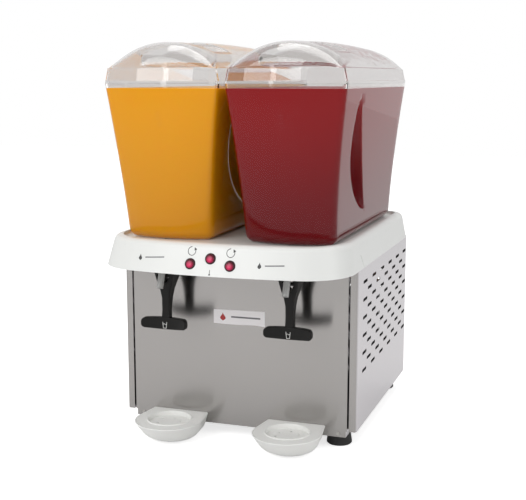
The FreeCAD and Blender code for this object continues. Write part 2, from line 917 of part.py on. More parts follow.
def tank_form(x, inset, low, high, bottom_round):
    """A smooth solid through the tank's plans at evenly spaced heights."""
    levels = [low + (high - low) * i / (TANK_STATIONS - 1) for i in range(TANK_STATIONS)]
    solid = Part.makeLoft([tank_outline(x, z, inset) for z in levels], True, False)
    return solid.makeFillet(bottom_round, edges_at(solid, low))


SCOOP_STATIONS = 7
SCOOP_LEAN = 0.53


def scoop_tool(x, side, inset):
    """The long hand scoop in a tank's side: a face that slopes in from the front corner, then a
    riser back out.  With an inset it is the same scoop as the inside of the wall sees it.

    Its depth goes with sin(pi * share ** 0.75) ** 0.8 of its height, and the riser stands
    further back the lower it is.
    """
    top = float(at.tank_top) - float(size.scoop_drop)
    tall = float(size.scoop_height)
    riser = float(size.scoop_riser)
    wires = []
    for i in range(SCOOP_STATIONS):
        share = i / (SCOOP_STATIONS - 1)
        level = top - tall + tall * share
        half, front, _, corner, bow = tank_measures(level, 0)
        near = side_start(half, front, corner, bow)
        deep = float(at.front) + float(size.scoop_reach) + SCOOP_LEAN * (top - level)
        if i in (0, SCOOP_STATIONS - 1):
            depth = -0.4
        else:
            depth = float(size.scoop_depth) * math.sin(math.pi * share ** 0.75) ** 0.8
            slope = riser / depth
            deep += inset * (math.sqrt(1 + slope ** 2) - slope)
        wall_x = half - inset
        corners = [(half + 3, near), (wall_x + 0.3, near), (wall_x - depth, deep),
                   (wall_x + 0.3, deep + riser), (half + 3, deep + riser)]
        spots = [Vector(x + side * a, b, level) for a, b in corners]
        if side < 0:
            spots.reverse()
        wires.append(Part.makePolygon(spots + [spots[0]]))
    return Part.makeLoft(wires, True, True)


def make_tank(name, sign):
    x = sign * float(size.tank_spacing) / 2
    low, high = float(at.tank_bottom), float(at.tank_top)
    wall = float(size.tank_wall)
    bottom_round = float(size.tank_bottom_round)
    recess_top = float(at.deck) + float(size.seal_height)
    cavity_low = recess_top + float(size.tank_floor)
    outer = tank_form(x, 0, low, high, bottom_round)
    outer = outer.cut([scoop_tool(x, side, 0) for side in (-1, 1)])
    inner = tank_form(x, wall, cavity_low, high + 1, bottom_round - wall)
    inner = inner.cut([scoop_tool(x, side, wall) for side in (-1, 1)])
    y = float(at.evaporator_y)
    recess = Part.makeCylinder(float(size.evaporator_flange) + 1.5, recess_top - low + 1,
                               Vector(x, y, low - 1))
    opening = Part.makeCylinder(float(size.evaporator_radius) + 4, 20, Vector(x, y, low))
    outlet_x = sign * float(size.tap_spacing) / 2
    outlet = Vector(outlet_x, float(at.outlet_y), low - OUTLET_LENGTH)
    nipple = Part.makeCylinder(float(size.outlet_radius), OUTLET_LENGTH + cavity_low - low, outlet)
    bore = Part.makeCylinder(float(size.outlet_radius) - 2, OUTLET_LENGTH + cavity_low - low + 3,
                             outlet)
    shell = outer.fuse(nipple).cut([inner, recess, opening, bore])
    node(computed(shell), "tank_" + name)


OUTLET_LENGTH = 8.0


def dome_surface(x, inset):
    """The lid's domed top, as a smooth face through points of a formula.

    Across, a point's x is half * sin(t) and its height goes with cos(t) ** 1.5.  Lengthwise the
    height falls to the shoulder at both ends by (1 - (1 - d / round) ** 2) ** 0.6, where d is the
    distance from the end.
    """
    half, front, rear, corner, bow = tank_measures(float(at.tank_top),
                                                   inset + float(size.lid_lean))
    turn = math.radians(bow)
    bend = (half - corner + corner * math.sin(turn)) / math.sin(turn)
    base = float(at.lid_bottom) + float(size.lid_skirt) - 1
    end_round = float(size.lid_end_round)
    rows = []
    for i in range(DOME_ROWS):
        along = (1 - math.cos(math.pi * i / (DOME_ROWS - 1))) / 2
        lift = float(size.lid_rise) - inset + 1 + float(size.lid_bulge) * math.sin(math.pi * along)
        row = []
        for j in range(DOME_COLUMNS):
            turned = math.pi * (j / (DOME_COLUMNS - 1) - 0.5)
            across = (half + DOME_MARGIN) * math.sin(turned)
            near = front - DOME_MARGIN + bend - math.sqrt(bend ** 2 - across ** 2)
            length = rear + DOME_MARGIN - near
            end_gap = length * min(along, 1 - along)
            fall = (1 - max(0.0, 1 - end_gap / end_round) ** 2) ** 0.6
            height = lift * max(0.0, math.cos(turned)) ** 1.5 * fall
            row.append(Vector(x + across, near + length * along, base + height))
        rows.append(row)
    surface = Part.BSplineSurface()
    surface.interpolate(rows)
    return surface.toShape()


DOME_ROWS = 25
DOME_COLUMNS = 13
DOME_MARGIN = 0.6


def lid_outline(x, level, inset):
    """The tank's top outline, moved to another height."""
    wire = tank_outline(x, float(at.tank_top), inset)
    wire.translate(Vector(0, 0, level - float(at.tank_top)))
    return wire


def lid_form(x, inset, low):
    """A skirt that leans in to the shoulder, under the dome."""
    lean, skirt = float(size.lid_lean), float(size.lid_skirt)
    shoulder = float(at.lid_bottom) + skirt
    start_inset = inset - lean * (float(at.lid_bottom) - low) / skirt
    block = Part.makeLoft([lid_outline(x, low, start_inset),
                           lid_outline(x, shoulder, inset + lean)], True, True)
    dome = dome_surface(x, inset).extrude(Vector(0, 0, -60))
    plan = Part.Face(lid_outline(x, shoulder - 4, inset + lean))
    return block.fuse(dome.common(plan.extrude(Vector(0, 0, 60))))


def ring_between(x, outer_inset, inner_inset, low, high):
    """A ring that follows the tank's top outline."""
    ring = Part.Face(lid_outline(x, low, outer_inset))
    ring = ring.cut(Part.Face(lid_outline(x, low, inner_inset)))
    return ring.extrude(Vector(0, 0, high - low))


def rounded_block(x_pair, y_pair, z_pair, radius):
    """A block with rounded upright edges and a rounded bottom."""
    solid = Part.makeBox(x_pair[1] - x_pair[0], y_pair[1] - y_pair[0], z_pair[1] - z_pair[0],
                         Vector(x_pair[0], y_pair[0], z_pair[0]))
    picked = [e for e in solid.Edges
              if e.BoundBox.ZLength > 1 or e.BoundBox.ZMax < z_pair[0] + 0.01]
    return solid.makeFillet(radius, picked)


def make_lid(name, sign):
    x = sign * float(size.tank_spacing) / 2
    low = float(at.lid_bottom)
    wall = float(size.lid_wall)
    rim = 4.0
    seat_inset = float(size.tank_wall) + 1.4
    shell = lid_form(x, 0, low).cut(lid_form(x, wall, low - 1))
    flange = ring_between(x, 0, seat_inset + 2, low, low + rim)
    lip = ring_between(x, seat_inset, seat_inset + 2, low - float(size.lid_lip), low + rim)
    floor = low + float(size.lid_skirt) + float(size.lid_rise) - float(size.pocket_depth)
    half = float(size.pocket_width) / 2
    near = float(at.front) - float(size.tank_top_reach) + float(size.pocket_inset)
    far = near + float(size.pocket_length)
    above = floor + float(size.pocket_depth) + 30
    hollow = rounded_block((x - half, x + half), (near, far), (floor, above), POCKET_ROUND)
    liner = rounded_block((x - half - wall, x + half + wall), (near - wall, far + wall),
                          (floor - wall, above), POCKET_ROUND + wall)
    liner = liner.common(lid_form(x, 0, low))
    node(computed(shell.fuse([flange, lip, liner]).cut(hollow)), "lid_" + name)


POCKET_ROUND = 8.0


# Evaporators and stirring

def make_evaporator(name, sign):
    """A steel dome through the deck, with a pin for the impeller on top."""
    x = sign * size.tank_spacing / 2
    radius, wall = size.evaporator_radius, size.evaporator_wall
    flange_thick = size.sheet_gauge * 3
    base = at.flange_under
    top = at.evaporator_top - base
    crown = 9.0
    pin = size.shaft_radius
    section = [(radius - wall, 0), (size.evaporator_flange, 0),
               (size.evaporator_flange, flange_thick), (radius, flange_thick),
               (radius, top - crown), (radius - 3, top - 3), (radius - crown, top),
               (pin, top), (pin, top + PIN_HEIGHT), (0, top + PIN_HEIGHT),
               (0, top - wall), (radius - crown, top - wall),
               (radius - wall - 2.6, top - wall - 2), (radius - wall, top - crown)]
    node(revolved("dome", section, (x, at.evaporator_y, base)), "evaporator_" + name)


PIN_HEIGHT = 22.0


def make_tank_seal(name, sign):
    x = sign * size.tank_spacing / 2
    ring = cylinder((x, at.evaporator_y, at.deck), size.evaporator_flange, size.seal_height)
    bore = cylinder((x, at.evaporator_y, at.deck - 1), size.evaporator_radius + 0.2,
                    size.seal_height + 2)
    node(cut(ring, [bore]), "tank_seal_" + name)


def make_impeller(name, sign):
    """A stirring paddle: a magnet disc on a hub, with four upright blades."""
    body = new_body("impeller")
    bore = size.shaft_radius + FIT
    radius = size.impeller_radius
    section = [(bore, 0), (radius * 0.66, 0), (radius * 0.66, 7), (11, 9), (9, 20), (bore, 20)]
    profile = sketch(body, "XZ_Plane", section)
    hub = body.newObject("PartDesign::Revolution", "hub")
    hub.Profile = profile
    hub.ReferenceAxis = (profile, ["V_Axis"])
    hub.Angle = 360
    doc.recompute()
    blade = sketch(body, "XY_Plane", [(8, -1.2), (radius, -1.2), (radius, 1.2), (8, 1.2)])
    lifted = pad(body, blade, 18)
    doc.recompute()
    add_turned_copies(body, lifted, 4)
    place(body, (sign * size.tank_spacing / 2, at.evaporator_y, at.evaporator_top + 0.05))
    node(body, "impeller_" + name)


def add_turned_copies(body, feature, count):
    pattern = body.newObject("PartDesign::PolarPattern", "blades")
    pattern.Originals = [feature]
    pattern.Axis = (plane_of(body, "Z_Axis"), [""])
    pattern.Angle = 360
    pattern.Occurrences = count
    body.Tip = pattern


def make_stirrer_drive(name, sign):
    """The motor hung under the evaporator's flange, and its shaft with the drive magnet."""
    x = sign * size.tank_spacing / 2
    y = at.evaporator_y
    hang = 30.0
    top = at.flange_under - hang
    can = cylinder((x, y, top - size.stirrer_motor_length), size.stirrer_motor_radius,
                   size.stirrer_motor_length)
    plate = cylinder((x, y, top), size.evaporator_flange - 2, 3)
    legs = []
    ring = size.evaporator_flange - 7.5
    for angle in (30, 150, 270):
        turn = math.radians(angle)
        legs.append(cylinder((x + ring * math.cos(turn), y + ring * math.sin(turn), top), 4, hang))
    bore = cylinder((x, y, top - 20), size.shaft_radius + FIT, 40)
    notch = slab((x - 14, x + 14), (y + ring - 6, y + ring + 8), (top - 1, top + 4))
    node(cut(fused([can, plate] + legs), [bore, notch]), "stirrer_motor_" + name)
    ceiling = at.evaporator_top - size.evaporator_wall
    shaft = cylinder((x, y, top - 16), size.shaft_radius, ceiling - 6 - top + 16)
    magnet = cylinder((x, y, ceiling - 11), size.impeller_radius * 0.66, 9.4)
    node(fused([shaft, magnet]), "drive_magnet_" + name)


def make_insulation():
    """The foam block that the deck rests on, open round the evaporators and their motors."""
    half = at.half_width - 17
    block = slab((-half, half), (at.front + 3, at.rear - 12), (at.panel_top, at.deck_under))
    wall = float(size.cover_wall)
    inside = computed(cover_solid(wall + 0.2, float(at.cover_edge), float(at.deck_under),
                                  float(size.cover_top_round) - wall), "cover_inside")
    fitted = doc.addObject("Part::Common", "fitted")
    fitted.Base = block
    fitted.Tool = inside
    holes = [cylinder((sign * size.tank_spacing / 2, at.evaporator_y, at.panel_top - 1),
                      size.evaporator_flange + 1, size.cover_height) for sign in SIDES.values()]
    node(cut(fitted, holes), "insulation")


# Taps

def tap_x(sign):
    return sign * size.tap_spacing / 2


def spout_axis():
    """The spout's lower end and the way up along it, in the plane across the object."""
    tilt = math.radians(float(size.spout_tilt))
    end = (float(at.front) - float(size.spout_end_reach),
           float(at.deck_under) - float(size.spout_end_drop))
    return end, (math.sin(tilt), math.cos(tilt))


SPOUT_TOP_DROP = 21.4
FITTING_LENGTH = 15.4
ELBOW_DROP = 8.0


def spout_cylinder(x, radius, low_drop, high_drop):
    """A round bar along the spout's axis, between two drops below the deck."""
    (end_y, end_z), (way_y, way_z) = spout_axis()
    rise = float(size.spout_end_drop) - low_drop
    start = Vector(x, end_y + rise * way_y / way_z, end_z + rise)
    length = (low_drop - high_drop) / way_z
    return Part.makeCylinder(radius, length, start, Vector(0, way_y, way_z))


def make_spout(name, sign):
    """The outlet fitting under the deck and the silicone tube on its barb."""
    x = float(tap_x(sign))
    y, under = float(at.outlet_y), float(at.deck_under)
    socket = float(size.outlet_radius) + 0.1
    flange = Part.makeCylinder(socket + 9.5, 4, Vector(x, y, under - 4))
    body = Part.makeCylinder(socket + 4, FITTING_LENGTH, Vector(x, y, under - FITTING_LENGTH))
    barb = spout_cylinder(x, float(size.spout_bore) - 0.1, SPOUT_TOP_DROP + 9, ELBOW_DROP - 3)
    collar = spout_cylinder(x, float(size.spout_radius), SPOUT_TOP_DROP - 0.2,
                            SPOUT_TOP_DROP - 4)
    mouth = Part.makeCylinder(socket, ELBOW_DROP + 4, Vector(x, y, under - ELBOW_DROP - 3))
    narrow = float(size.spout_bore) - 1.2
    channel = spout_cylinder(x, narrow, SPOUT_TOP_DROP + 12, ELBOW_DROP)
    (end_y, end_z), (way_y, way_z) = spout_axis()
    level = under - ELBOW_DROP
    turn_y = end_y + (level - end_z) * way_y / way_z
    elbow = Part.makeCylinder(narrow, y - turn_y, Vector(x, turn_y, level), Vector(0, 1, 0))
    fitting = flange.fuse([body, barb, collar]).cut([mouth, channel, elbow])
    node(computed(fitting), "spout_fitting_" + name)
    low = float(size.spout_end_drop)
    tube = spout_cylinder(x, float(size.spout_radius), low, SPOUT_TOP_DROP)
    tube = tube.cut(spout_cylinder(x, float(size.spout_bore), low + 2, SPOUT_TOP_DROP - 2))
    node(computed(tube), "spout_tube_" + name)


EAR_THICKNESS = 4.0
EAR_GAP = 0.6


def make_tap_mount(name, sign):
    """The bracket under the deck: two ears for the pivot pin and a stop bar before the tube."""
    x = tap_x(sign)
    under = at.deck_under
    half = size.fork_width / 2 + EAR_GAP
    plate = slab((x - half - EAR_THICKNESS, x + half + EAR_THICKNESS),
                 (at.pivot_y - 14, at.pivot_y + 10), (under - 4, under))
    ears = []
    for low in (x - half - EAR_THICKNESS, x + half):
        ears.append(slab((low, low + EAR_THICKNESS), (at.pivot_y - 8, at.pivot_y + 8),
                         (at.pivot_z, under)))
        ears.append(cylinder((low, at.pivot_y, at.pivot_z), 8, EAR_THICKNESS, "x"))
    strap_half = size.fork_slot / 2 - 2
    strap = slab((x - strap_half, x + strap_half), (at.pivot_y - 9.4, at.pivot_y - 6.4),
                 (at.pivot_z - 24, under))
    bar = cylinder((x - strap_half, at.pivot_y - 5.4, at.pivot_z - 22), 3.0, strap_half * 2, "x")
    bore = cylinder((x - half - EAR_THICKNESS - 1, at.pivot_y, at.pivot_z), size.pivot_radius,
                    half * 2 + EAR_THICKNESS * 2 + 2, "x")
    node(cut(fused([plate, strap, bar] + ears), [bore]), "tap_mount_" + name)


def make_lever_pin(name, sign):
    x = tap_x(sign)
    half = size.fork_width / 2 + EAR_GAP + EAR_THICKNESS
    shank = cylinder((x - half, at.pivot_y, at.pivot_z), size.pivot_radius, half * 2 + 1.5, "x")
    head = cylinder((x - half - 1.5, at.pivot_y, at.pivot_z), size.pivot_radius * 1.7, 1.5, "x")
    node(fused([shank, head]), "lever_pin_" + name)


def polygon_face(points):
    return Part.Face(Part.makePolygon(points + [points[0]]))


def make_lever(name, sign):
    """The tap lever: deep cheeks beside the tube, a stem, and a hollow-faced bar for the glass."""
    x, y, z = float(tap_x(sign)), float(at.pivot_y), float(at.pivot_z)
    fork, stem = float(size.fork_width) / 2, float(size.stem_width) / 2
    foot = float(size.lever_length)
    stations = [(8, fork, -8, 8), (-6, fork, -9, 12), (-18, fork, -2, 36), (-34, fork - 1, 5, 40),
                (-47, (fork + stem) / 2 + 1, 8, 32.5), (-58, stem + 2, 9.5, 31),
                (-71, stem, 11, 28.5), (-foot + 21.5, stem, 11.5, 23.5),
                (-foot + 10, stem + 0.8, 11.5, 22), (-foot + 2, stem + 0.8, 12, 19)]
    limbs = Part.makeLoft([bowed_outline(x, half, y + near, y + far, 2.4, 2.4, 2.0, z + rise)
                           for rise, half, near, far in stations], True, True)
    slot = float(size.fork_slot) / 2
    left_side = [(-slot, 12), (-slot, -36), (-slot * 0.75, -38.6), (-slot * 0.67, -43),
                 (-slot * 0.33, -46)]
    slot_points = left_side + [(-a, b) for a, b in reversed(left_side)]
    gap = polygon_face([Vector(x + a, y - 20, z + b) for a, b in slot_points])
    limbs = limbs.cut(gap.extrude(Vector(0, 70, 0)))
    pinch = Part.makeCylinder(3.0, slot * 2 + 4, Vector(x - slot - 2, y + 7.4, z - 34),
                              Vector(1, 0, 0))
    bore = Part.makeCylinder(float(size.pivot_radius) + FIT, fork * 2 + 2,
                             Vector(x - fork - 1, y, z), Vector(1, 0, 0))
    body = limbs.fuse([lever_paddle(x, y, z - foot), pinch])
    node(computed(body.cut(bore)), "tap_lever_" + name)


PADDLE_HOLLOW = 66.0


def lever_paddle(x, y, middle):
    """The bar that a glass pushes: an arc in plan, deeper in its middle than at its ends."""
    half = float(size.paddle_width) / 2
    top = middle + float(size.paddle_height) / 2
    low = top - float(size.paddle_height)
    end_low = low + 3.7
    start, end = Vector(x - half, y - 40, end_low), Vector(x + half, y - 40, end_low)
    profile = Part.Wire([
        line_between(start, Vector(x - half, y - 40, top)),
        line_between(Vector(x - half, y - 40, top), Vector(x + half, y - 40, top)),
        line_between(Vector(x + half, y - 40, top), end),
        arc_between(end, Vector(x, y - 40, low), start),
    ])
    slice_block = Part.Face(profile).extrude(Vector(0, 90, 0))
    ends = [e for e in slice_block.Edges if e.BoundBox.YLength > 1]
    slice_block = slice_block.makeFillet(6.5, ends)
    centre = Vector(x, y + 11 - PADDLE_HOLLOW, low - 1)
    tall = top - low + 2
    ring = Part.makeCylinder(PADDLE_HOLLOW + float(size.paddle_thickness), tall, centre)
    ring = ring.cut(Part.makeCylinder(PADDLE_HOLLOW, tall, centre))
    front_half = Part.makeBox(half * 4, 90, tall, Vector(x - half * 2, y - 20, low - 1))
    bar = ring.common(front_half).common(slice_block)
    faces = [f for f in bar.Faces if isinstance(f.Surface, Part.Cylinder)
             and abs(f.Surface.Axis.z) > 0.9]
    loops = [e for f in faces for e in f.OuterWire.Edges]
    return bar.makeFillet(1.4, loops)


SPRING_TURNS = 2
SPRING_PITCH = 1.2
SPRING_WIRE = 0.5


def make_lever_spring(name, sign):
    """A torsion spring on the pivot pin: one leg on the bracket, one behind the pinch bar."""
    x, y, z = float(tap_x(sign)), float(at.pivot_y), float(at.pivot_z)
    radius = float(size.pivot_radius) + 1.4
    length = SPRING_TURNS * SPRING_PITCH
    start = float(size.fork_slot) / 2 - 0.6 - length
    helix = Part.makeHelix(SPRING_PITCH, length, radius)
    section = Part.Wire([Part.makeCircle(SPRING_WIRE, Vector(radius, 0, 0), Vector(0, 1, 0))])
    coil = helix.makePipeShell([section], True, True)
    coil.rotate(Vector(0, 0, 0), Vector(0, 1, 0), 90)
    coil.rotate(Vector(0, 0, 0), Vector(1, 0, 0), -90)
    coil.translate(Vector(x + start, y, z))
    joints = spring_joints(coil, x + start, y, z, radius)
    node(computed(coil.fuse(joints)), "lever_spring_" + name)


def spring_joints(coil, x, y, z, radius):
    """The two legs, each starting in a small ball on the coil's end."""
    length = SPRING_TURNS * SPRING_PITCH
    start = Vector(x, y + radius, z)
    end = Vector(x + length, y + radius, z)
    up = Vector(x + length, y + radius, float(at.deck_under) - 4.05)
    down = Vector(x, y + 11.9, z - 38)
    pieces = []
    for first, last in ((end, up), (start, down)):
        way = last - first
        pieces.append(Part.makeSphere(SPRING_WIRE, first))
        pieces.append(Part.makeCylinder(SPRING_WIRE, way.Length, first, way))
    return pieces


# Drip cups

def cup_x(sign):
    return sign * size.cup_spacing / 2


def cup_outline(x, centre_back, radius, back_half, level, inset, corner):
    """A round front, two side lines tangent to it, and a straight back with rounded corners."""
    y = float(at.front) - centre_back
    radius = radius - inset
    back_y = float(at.front) - CUP_BACK_GAP - inset
    half = back_half - inset
    reach = back_y - y
    distance = math.hypot(half, reach)
    lean = math.atan2(reach, half)
    spread = math.acos(min(radius / distance, 1.0))
    angle = lean - spread
    touch = Vector(x + radius * math.cos(angle), y + radius * math.sin(angle), level)
    other = Vector(x - radius * math.cos(angle), y + radius * math.sin(angle), level)
    nose = Vector(x, y - radius, level)
    flank = (angle - math.pi / 2) / 2
    right_mid = Vector(x + radius * math.cos(flank), y + radius * math.sin(flank), level)
    left_mid = Vector(x - radius * math.cos(flank), y + radius * math.sin(flank), level)
    back_right = Vector(x + half, back_y, level)
    back_left = Vector(x - half, back_y, level)
    right = rounded_corner(back_left, back_right, touch, corner)
    left = rounded_corner(other, back_left, back_right, corner)
    return Part.Wire([
        line_between(left[2], right[0]), arc_between(*right), line_between(right[2], touch),
        arc_between(touch, right_mid, nose), arc_between(nose, left_mid, other),
        line_between(other, left[0]), arc_between(*left),
    ])


CUP_BACK_GAP = 0.1
RIM_CENTRE = 52.0
BOTTOM_CENTRE = 38.0


def cup_wire(x, level, inset, corner):
    """The cup's plan at a height, between its small bottom and its wide rim."""
    low, high = float(size.cup_bottom_height), float(size.cup_rim_height)
    share = (level - low) / (high - low)
    centre = BOTTOM_CENTRE + (RIM_CENTRE - BOTTOM_CENTRE) * share
    radius = float(size.cup_bottom_radius)
    radius += (float(size.cup_rim_radius) - float(size.cup_bottom_radius)) * share
    half = float(size.cup_back_width) / 2 * (0.8 + 0.2 * share)
    return cup_outline(x, centre, radius, half, level, inset, corner)


def cup_loft(x, low, high, inset):
    """A cup's form between two heights, with straight sides."""
    corner = float(size.cup_corner) - float(size.cup_wall)
    return Part.makeLoft([cup_wire(x, z, inset, corner) for z in (low, high)], True, True)


def rounded_cup(x, low, high, low_inset, high_inset, bottom_round, corner):
    """A cup form that turns in to its bottom through a quarter round."""
    wires = []
    for i in range(ROUND_STEPS + 1):
        angle = math.pi / 2 * i / ROUND_STEPS
        level = low + bottom_round * (1 - math.cos(angle))
        inset = low_inset + (high_inset - low_inset) * (level - low) / (high - low)
        wires.append(cup_wire(x, level, inset + bottom_round * (1 - math.sin(angle)), corner))
    rise = high - low - bottom_round
    for share in (0.5, 1.0):
        level = low + bottom_round + rise * share
        inset = low_inset + (high_inset - low_inset) * (level - low) / (high - low)
        wires.append(cup_wire(x, level, inset, corner))
    return Part.makeLoft(wires, True, False)


ROUND_STEPS = 4


PLATE_THICKNESS = 2.4


def make_drip_cup(name, sign):
    """The bowl: drafted wall, a ledge for the drain plate and a tongue that holds it."""
    x = float(cup_x(sign))
    low, rim = float(size.cup_bottom_height), float(size.cup_rim_height)
    wall = float(size.cup_wall)
    ledge = rim - PLATE_THICKNESS
    bottom_round, corner = float(size.cup_bottom_round), float(size.cup_corner)
    bowl = rounded_cup(x, low, rim, 0, 0, bottom_round, corner)
    bowl = bowl.makeFillet(1.0, edges_at(bowl, rim))
    upper = cup_loft(x, ledge, rim + 1, wall)
    lower = rounded_cup(x, low + wall, ledge + 1, wall * 1.6, wall * 2, bottom_round - wall,
                        corner - wall)
    tongue_low, tongue_high = tongue_levels(0)
    half = float(size.tongue_width) / 2
    front = float(at.front)
    tongue = Part.makeBox(half * 2, 24, float(tongue_high) - float(tongue_low),
                          Vector(x - half, front - 3, float(tongue_low)))
    body = bowl.cut([upper, lower]).fuse(tongue)
    node(computed(body), "drip_cup_" + name)


DRAIN_HOLES = 6
DRAIN_RADIUS = 2.2


def make_drip_plate(name, sign):
    """The lift-out plate: a flat rim round a shallow well with drain holes."""
    x = float(cup_x(sign))
    rim = float(size.cup_rim_height)
    inset = float(size.cup_wall) + CLEAR
    base = rim - PLATE_THICKNESS
    plate = cup_loft(x, base, rim, inset)
    y = float(at.front) - RIM_CENTRE + 3
    radius, depth = float(size.well_radius), float(size.well_depth)
    wall = 2.0
    pan = Part.makeCone(radius - 1 + wall, radius + wall, depth, Vector(x, y, rim - depth - wall))
    well = Part.makeCone(radius - 1, radius, depth + 3, Vector(x, y, rim - depth))
    bead = Part.makeTorus(radius + 1.2, 1.4, Vector(x, y, rim))
    holes = []
    for i in range(DRAIN_HOLES):
        turn = 2 * math.pi * (i + 0.5) / DRAIN_HOLES
        spot = Vector(x + radius * 0.55 * math.cos(turn), y + radius * 0.55 * math.sin(turn),
                      rim - depth - wall - 2)
        holes.append(Part.makeCylinder(DRAIN_RADIUS, 10, spot))
    node(computed(plate.fuse([pan, bead]).cut([well] + holes)), "drip_plate_" + name)


# Cooling unit

def make_compressor():
    """A welded steel pot on a base plate, held by four rubber grommets."""
    x = -(at.half_width * 0.46)
    y = at.front + 250
    floor = at.tray_floor
    radius, tall = size.compressor_radius, size.compressor_height
    grommet = 10.0
    plate_level = floor + grommet
    pot = revolved("pot", [
        (0, 0), (radius * 0.8, 0), (radius * 0.95, 12), (radius, 30), (radius, tall * 0.45),
        (radius + 2, tall * 0.45), (radius + 2, tall * 0.52), (radius, tall * 0.52),
        (radius, tall * 0.75), (radius * 0.85, tall * 0.92), (radius * 0.45, tall), (0, tall),
    ], (x, y, plate_level + 3))
    half = radius + 4
    plate = slab((x - half, x + half), (y - half, y + half), (plate_level, plate_level + 3))
    spots = [(x + a * (half - 9), y + b * (half - 9)) for a in SIDES.values() for b in (-1, 1)]
    box_side = slab((x - 20, x + 20), (y - radius - 14, y - radius + 8),
                    (plate_level + 30, plate_level + 75))
    holes = [cylinder((a, b, plate_level - 1), 4.1, 5) for a, b in spots]
    node(cut(fused([pot, plate, box_side]), holes), "compressor")
    grommets = []
    for a, b in spots:
        pad_ring = cylinder((a, b, floor), 9, grommet)
        neck = cylinder((a, b, floor + grommet), 4, 3)
        button = cylinder((a, b, floor + grommet + 3), 7, 2.5)
        grommets.append(fused([pad_ring, neck, button]))
    node(group(grommets), "compressor_grommets")
    return SimpleNamespace(x=x, y=y, low=plate_level + 3)


FIN_COUNT = 18
FAN_LEVEL = 118.0


def make_condenser():
    """A finned block near the right side, and the shroud that guides air through it."""
    outer = at.half_width - size.flange_width - 3
    inner = outer - size.condenser_width
    near = at.front + size.fan_back - size.condenser_length / 2
    far = near + size.condenser_length
    low = at.tray_floor
    high = low + size.condenser_height
    plates = [slab((inner, outer), (y, y + 1.5), (low, high)) for y in (near, far - 1.5)]
    pitch = (size.condenser_length - 1) / (FIN_COUNT + 1)
    fins = [slab((inner, outer), (near + pitch * (i + 1), near + pitch * (i + 1) + 1),
                 (low + 6, high - 6)) for i in range(FIN_COUNT)]
    middle = (inner + outer) / 2
    rows = 5
    tubes = []
    for i in range(rows):
        z = low + 20 + (size.condenser_height - 40) / (rows - 1) * i
        tubes.append(cylinder((middle, near - 6, z), 4, size.condenser_length + 12, "y"))
    node(fused(plates + fins + tubes), "condenser")
    hub_y = at.front + size.fan_back
    hub_z = at.tray_floor + FAN_LEVEL - 19
    wall = size.sheet_gauge
    face = slab((inner - 14 - wall, inner - 14), (near, far), (low, high))
    rims = [slab((inner - 14 - wall, inner), (near, far), (z, z + wall))
            for z in (low, high - wall)]
    rims += [slab((inner - 14 - wall, inner), (y, y + wall), (low, high))
             for y in (near, far - wall)]
    hole = cylinder((inner - 20, hub_y, hub_z), size.fan_radius + 3, 20, "x")
    inlet = slab((inner - 14, inner + 1), (near + wall, far - wall), (low + wall, high - wall))
    node(cut(fused([face] + rims), [hole, inlet]), "fan_shroud")
    return SimpleNamespace(inner=inner, middle=middle, near=near, far=far, low=low, high=high,
                           hub_y=hub_y, hub_z=hub_z)


def make_fan(unit):
    """The fan blade on its motor, and the bracket that stands on the tray."""
    body = new_body("fan")
    bore = size.shaft_radius + FIT
    section = [(bore, -2), (16, -2), (18, 0), (18, 12), (bore, 12)]
    profile = sketch(body, "XZ_Plane", section)
    hub = body.newObject("PartDesign::Revolution", "hub")
    hub.Profile = profile
    hub.ReferenceAxis = (profile, ["V_Axis"])
    hub.Angle = 360
    doc.recompute()
    blade_profile = sketch(body, "YZ_Plane", [(-17, 1), (-15, 0), (17, 10), (15, 11)])
    blade = pad(body, blade_profile, size.fan_radius)
    doc.recompute()
    add_turned_copies(body, blade, 5)
    x = unit.inner - 26
    place(body, (x, unit.hub_y, unit.hub_z), Rotation(Vector(0, 1, 0), 90))
    trimmed_hub = cylinder((x - 10, unit.hub_y, unit.hub_z), bore, 40, "x")
    node(cut(body, [trimmed_hub]), "fan_blade")
    motor_front = x - 6
    length = 46.0
    can = cylinder((motor_front - length, unit.hub_y, unit.hub_z), 26, length, "x")
    shaft = cylinder((motor_front, unit.hub_y, unit.hub_z), size.shaft_radius, 18, "x")
    node(fused([can, shaft]), "fan_motor")
    back = motor_front - length
    breadth = (unit.hub_y - 22, unit.hub_y + 22)
    stand = slab((back - 3, back), breadth, (at.tray_floor, unit.hub_z + 22))
    foot = slab((back - 30, back), breadth, (at.tray_floor, at.tray_floor + 3))
    node(fused([stand, foot]), "fan_bracket")


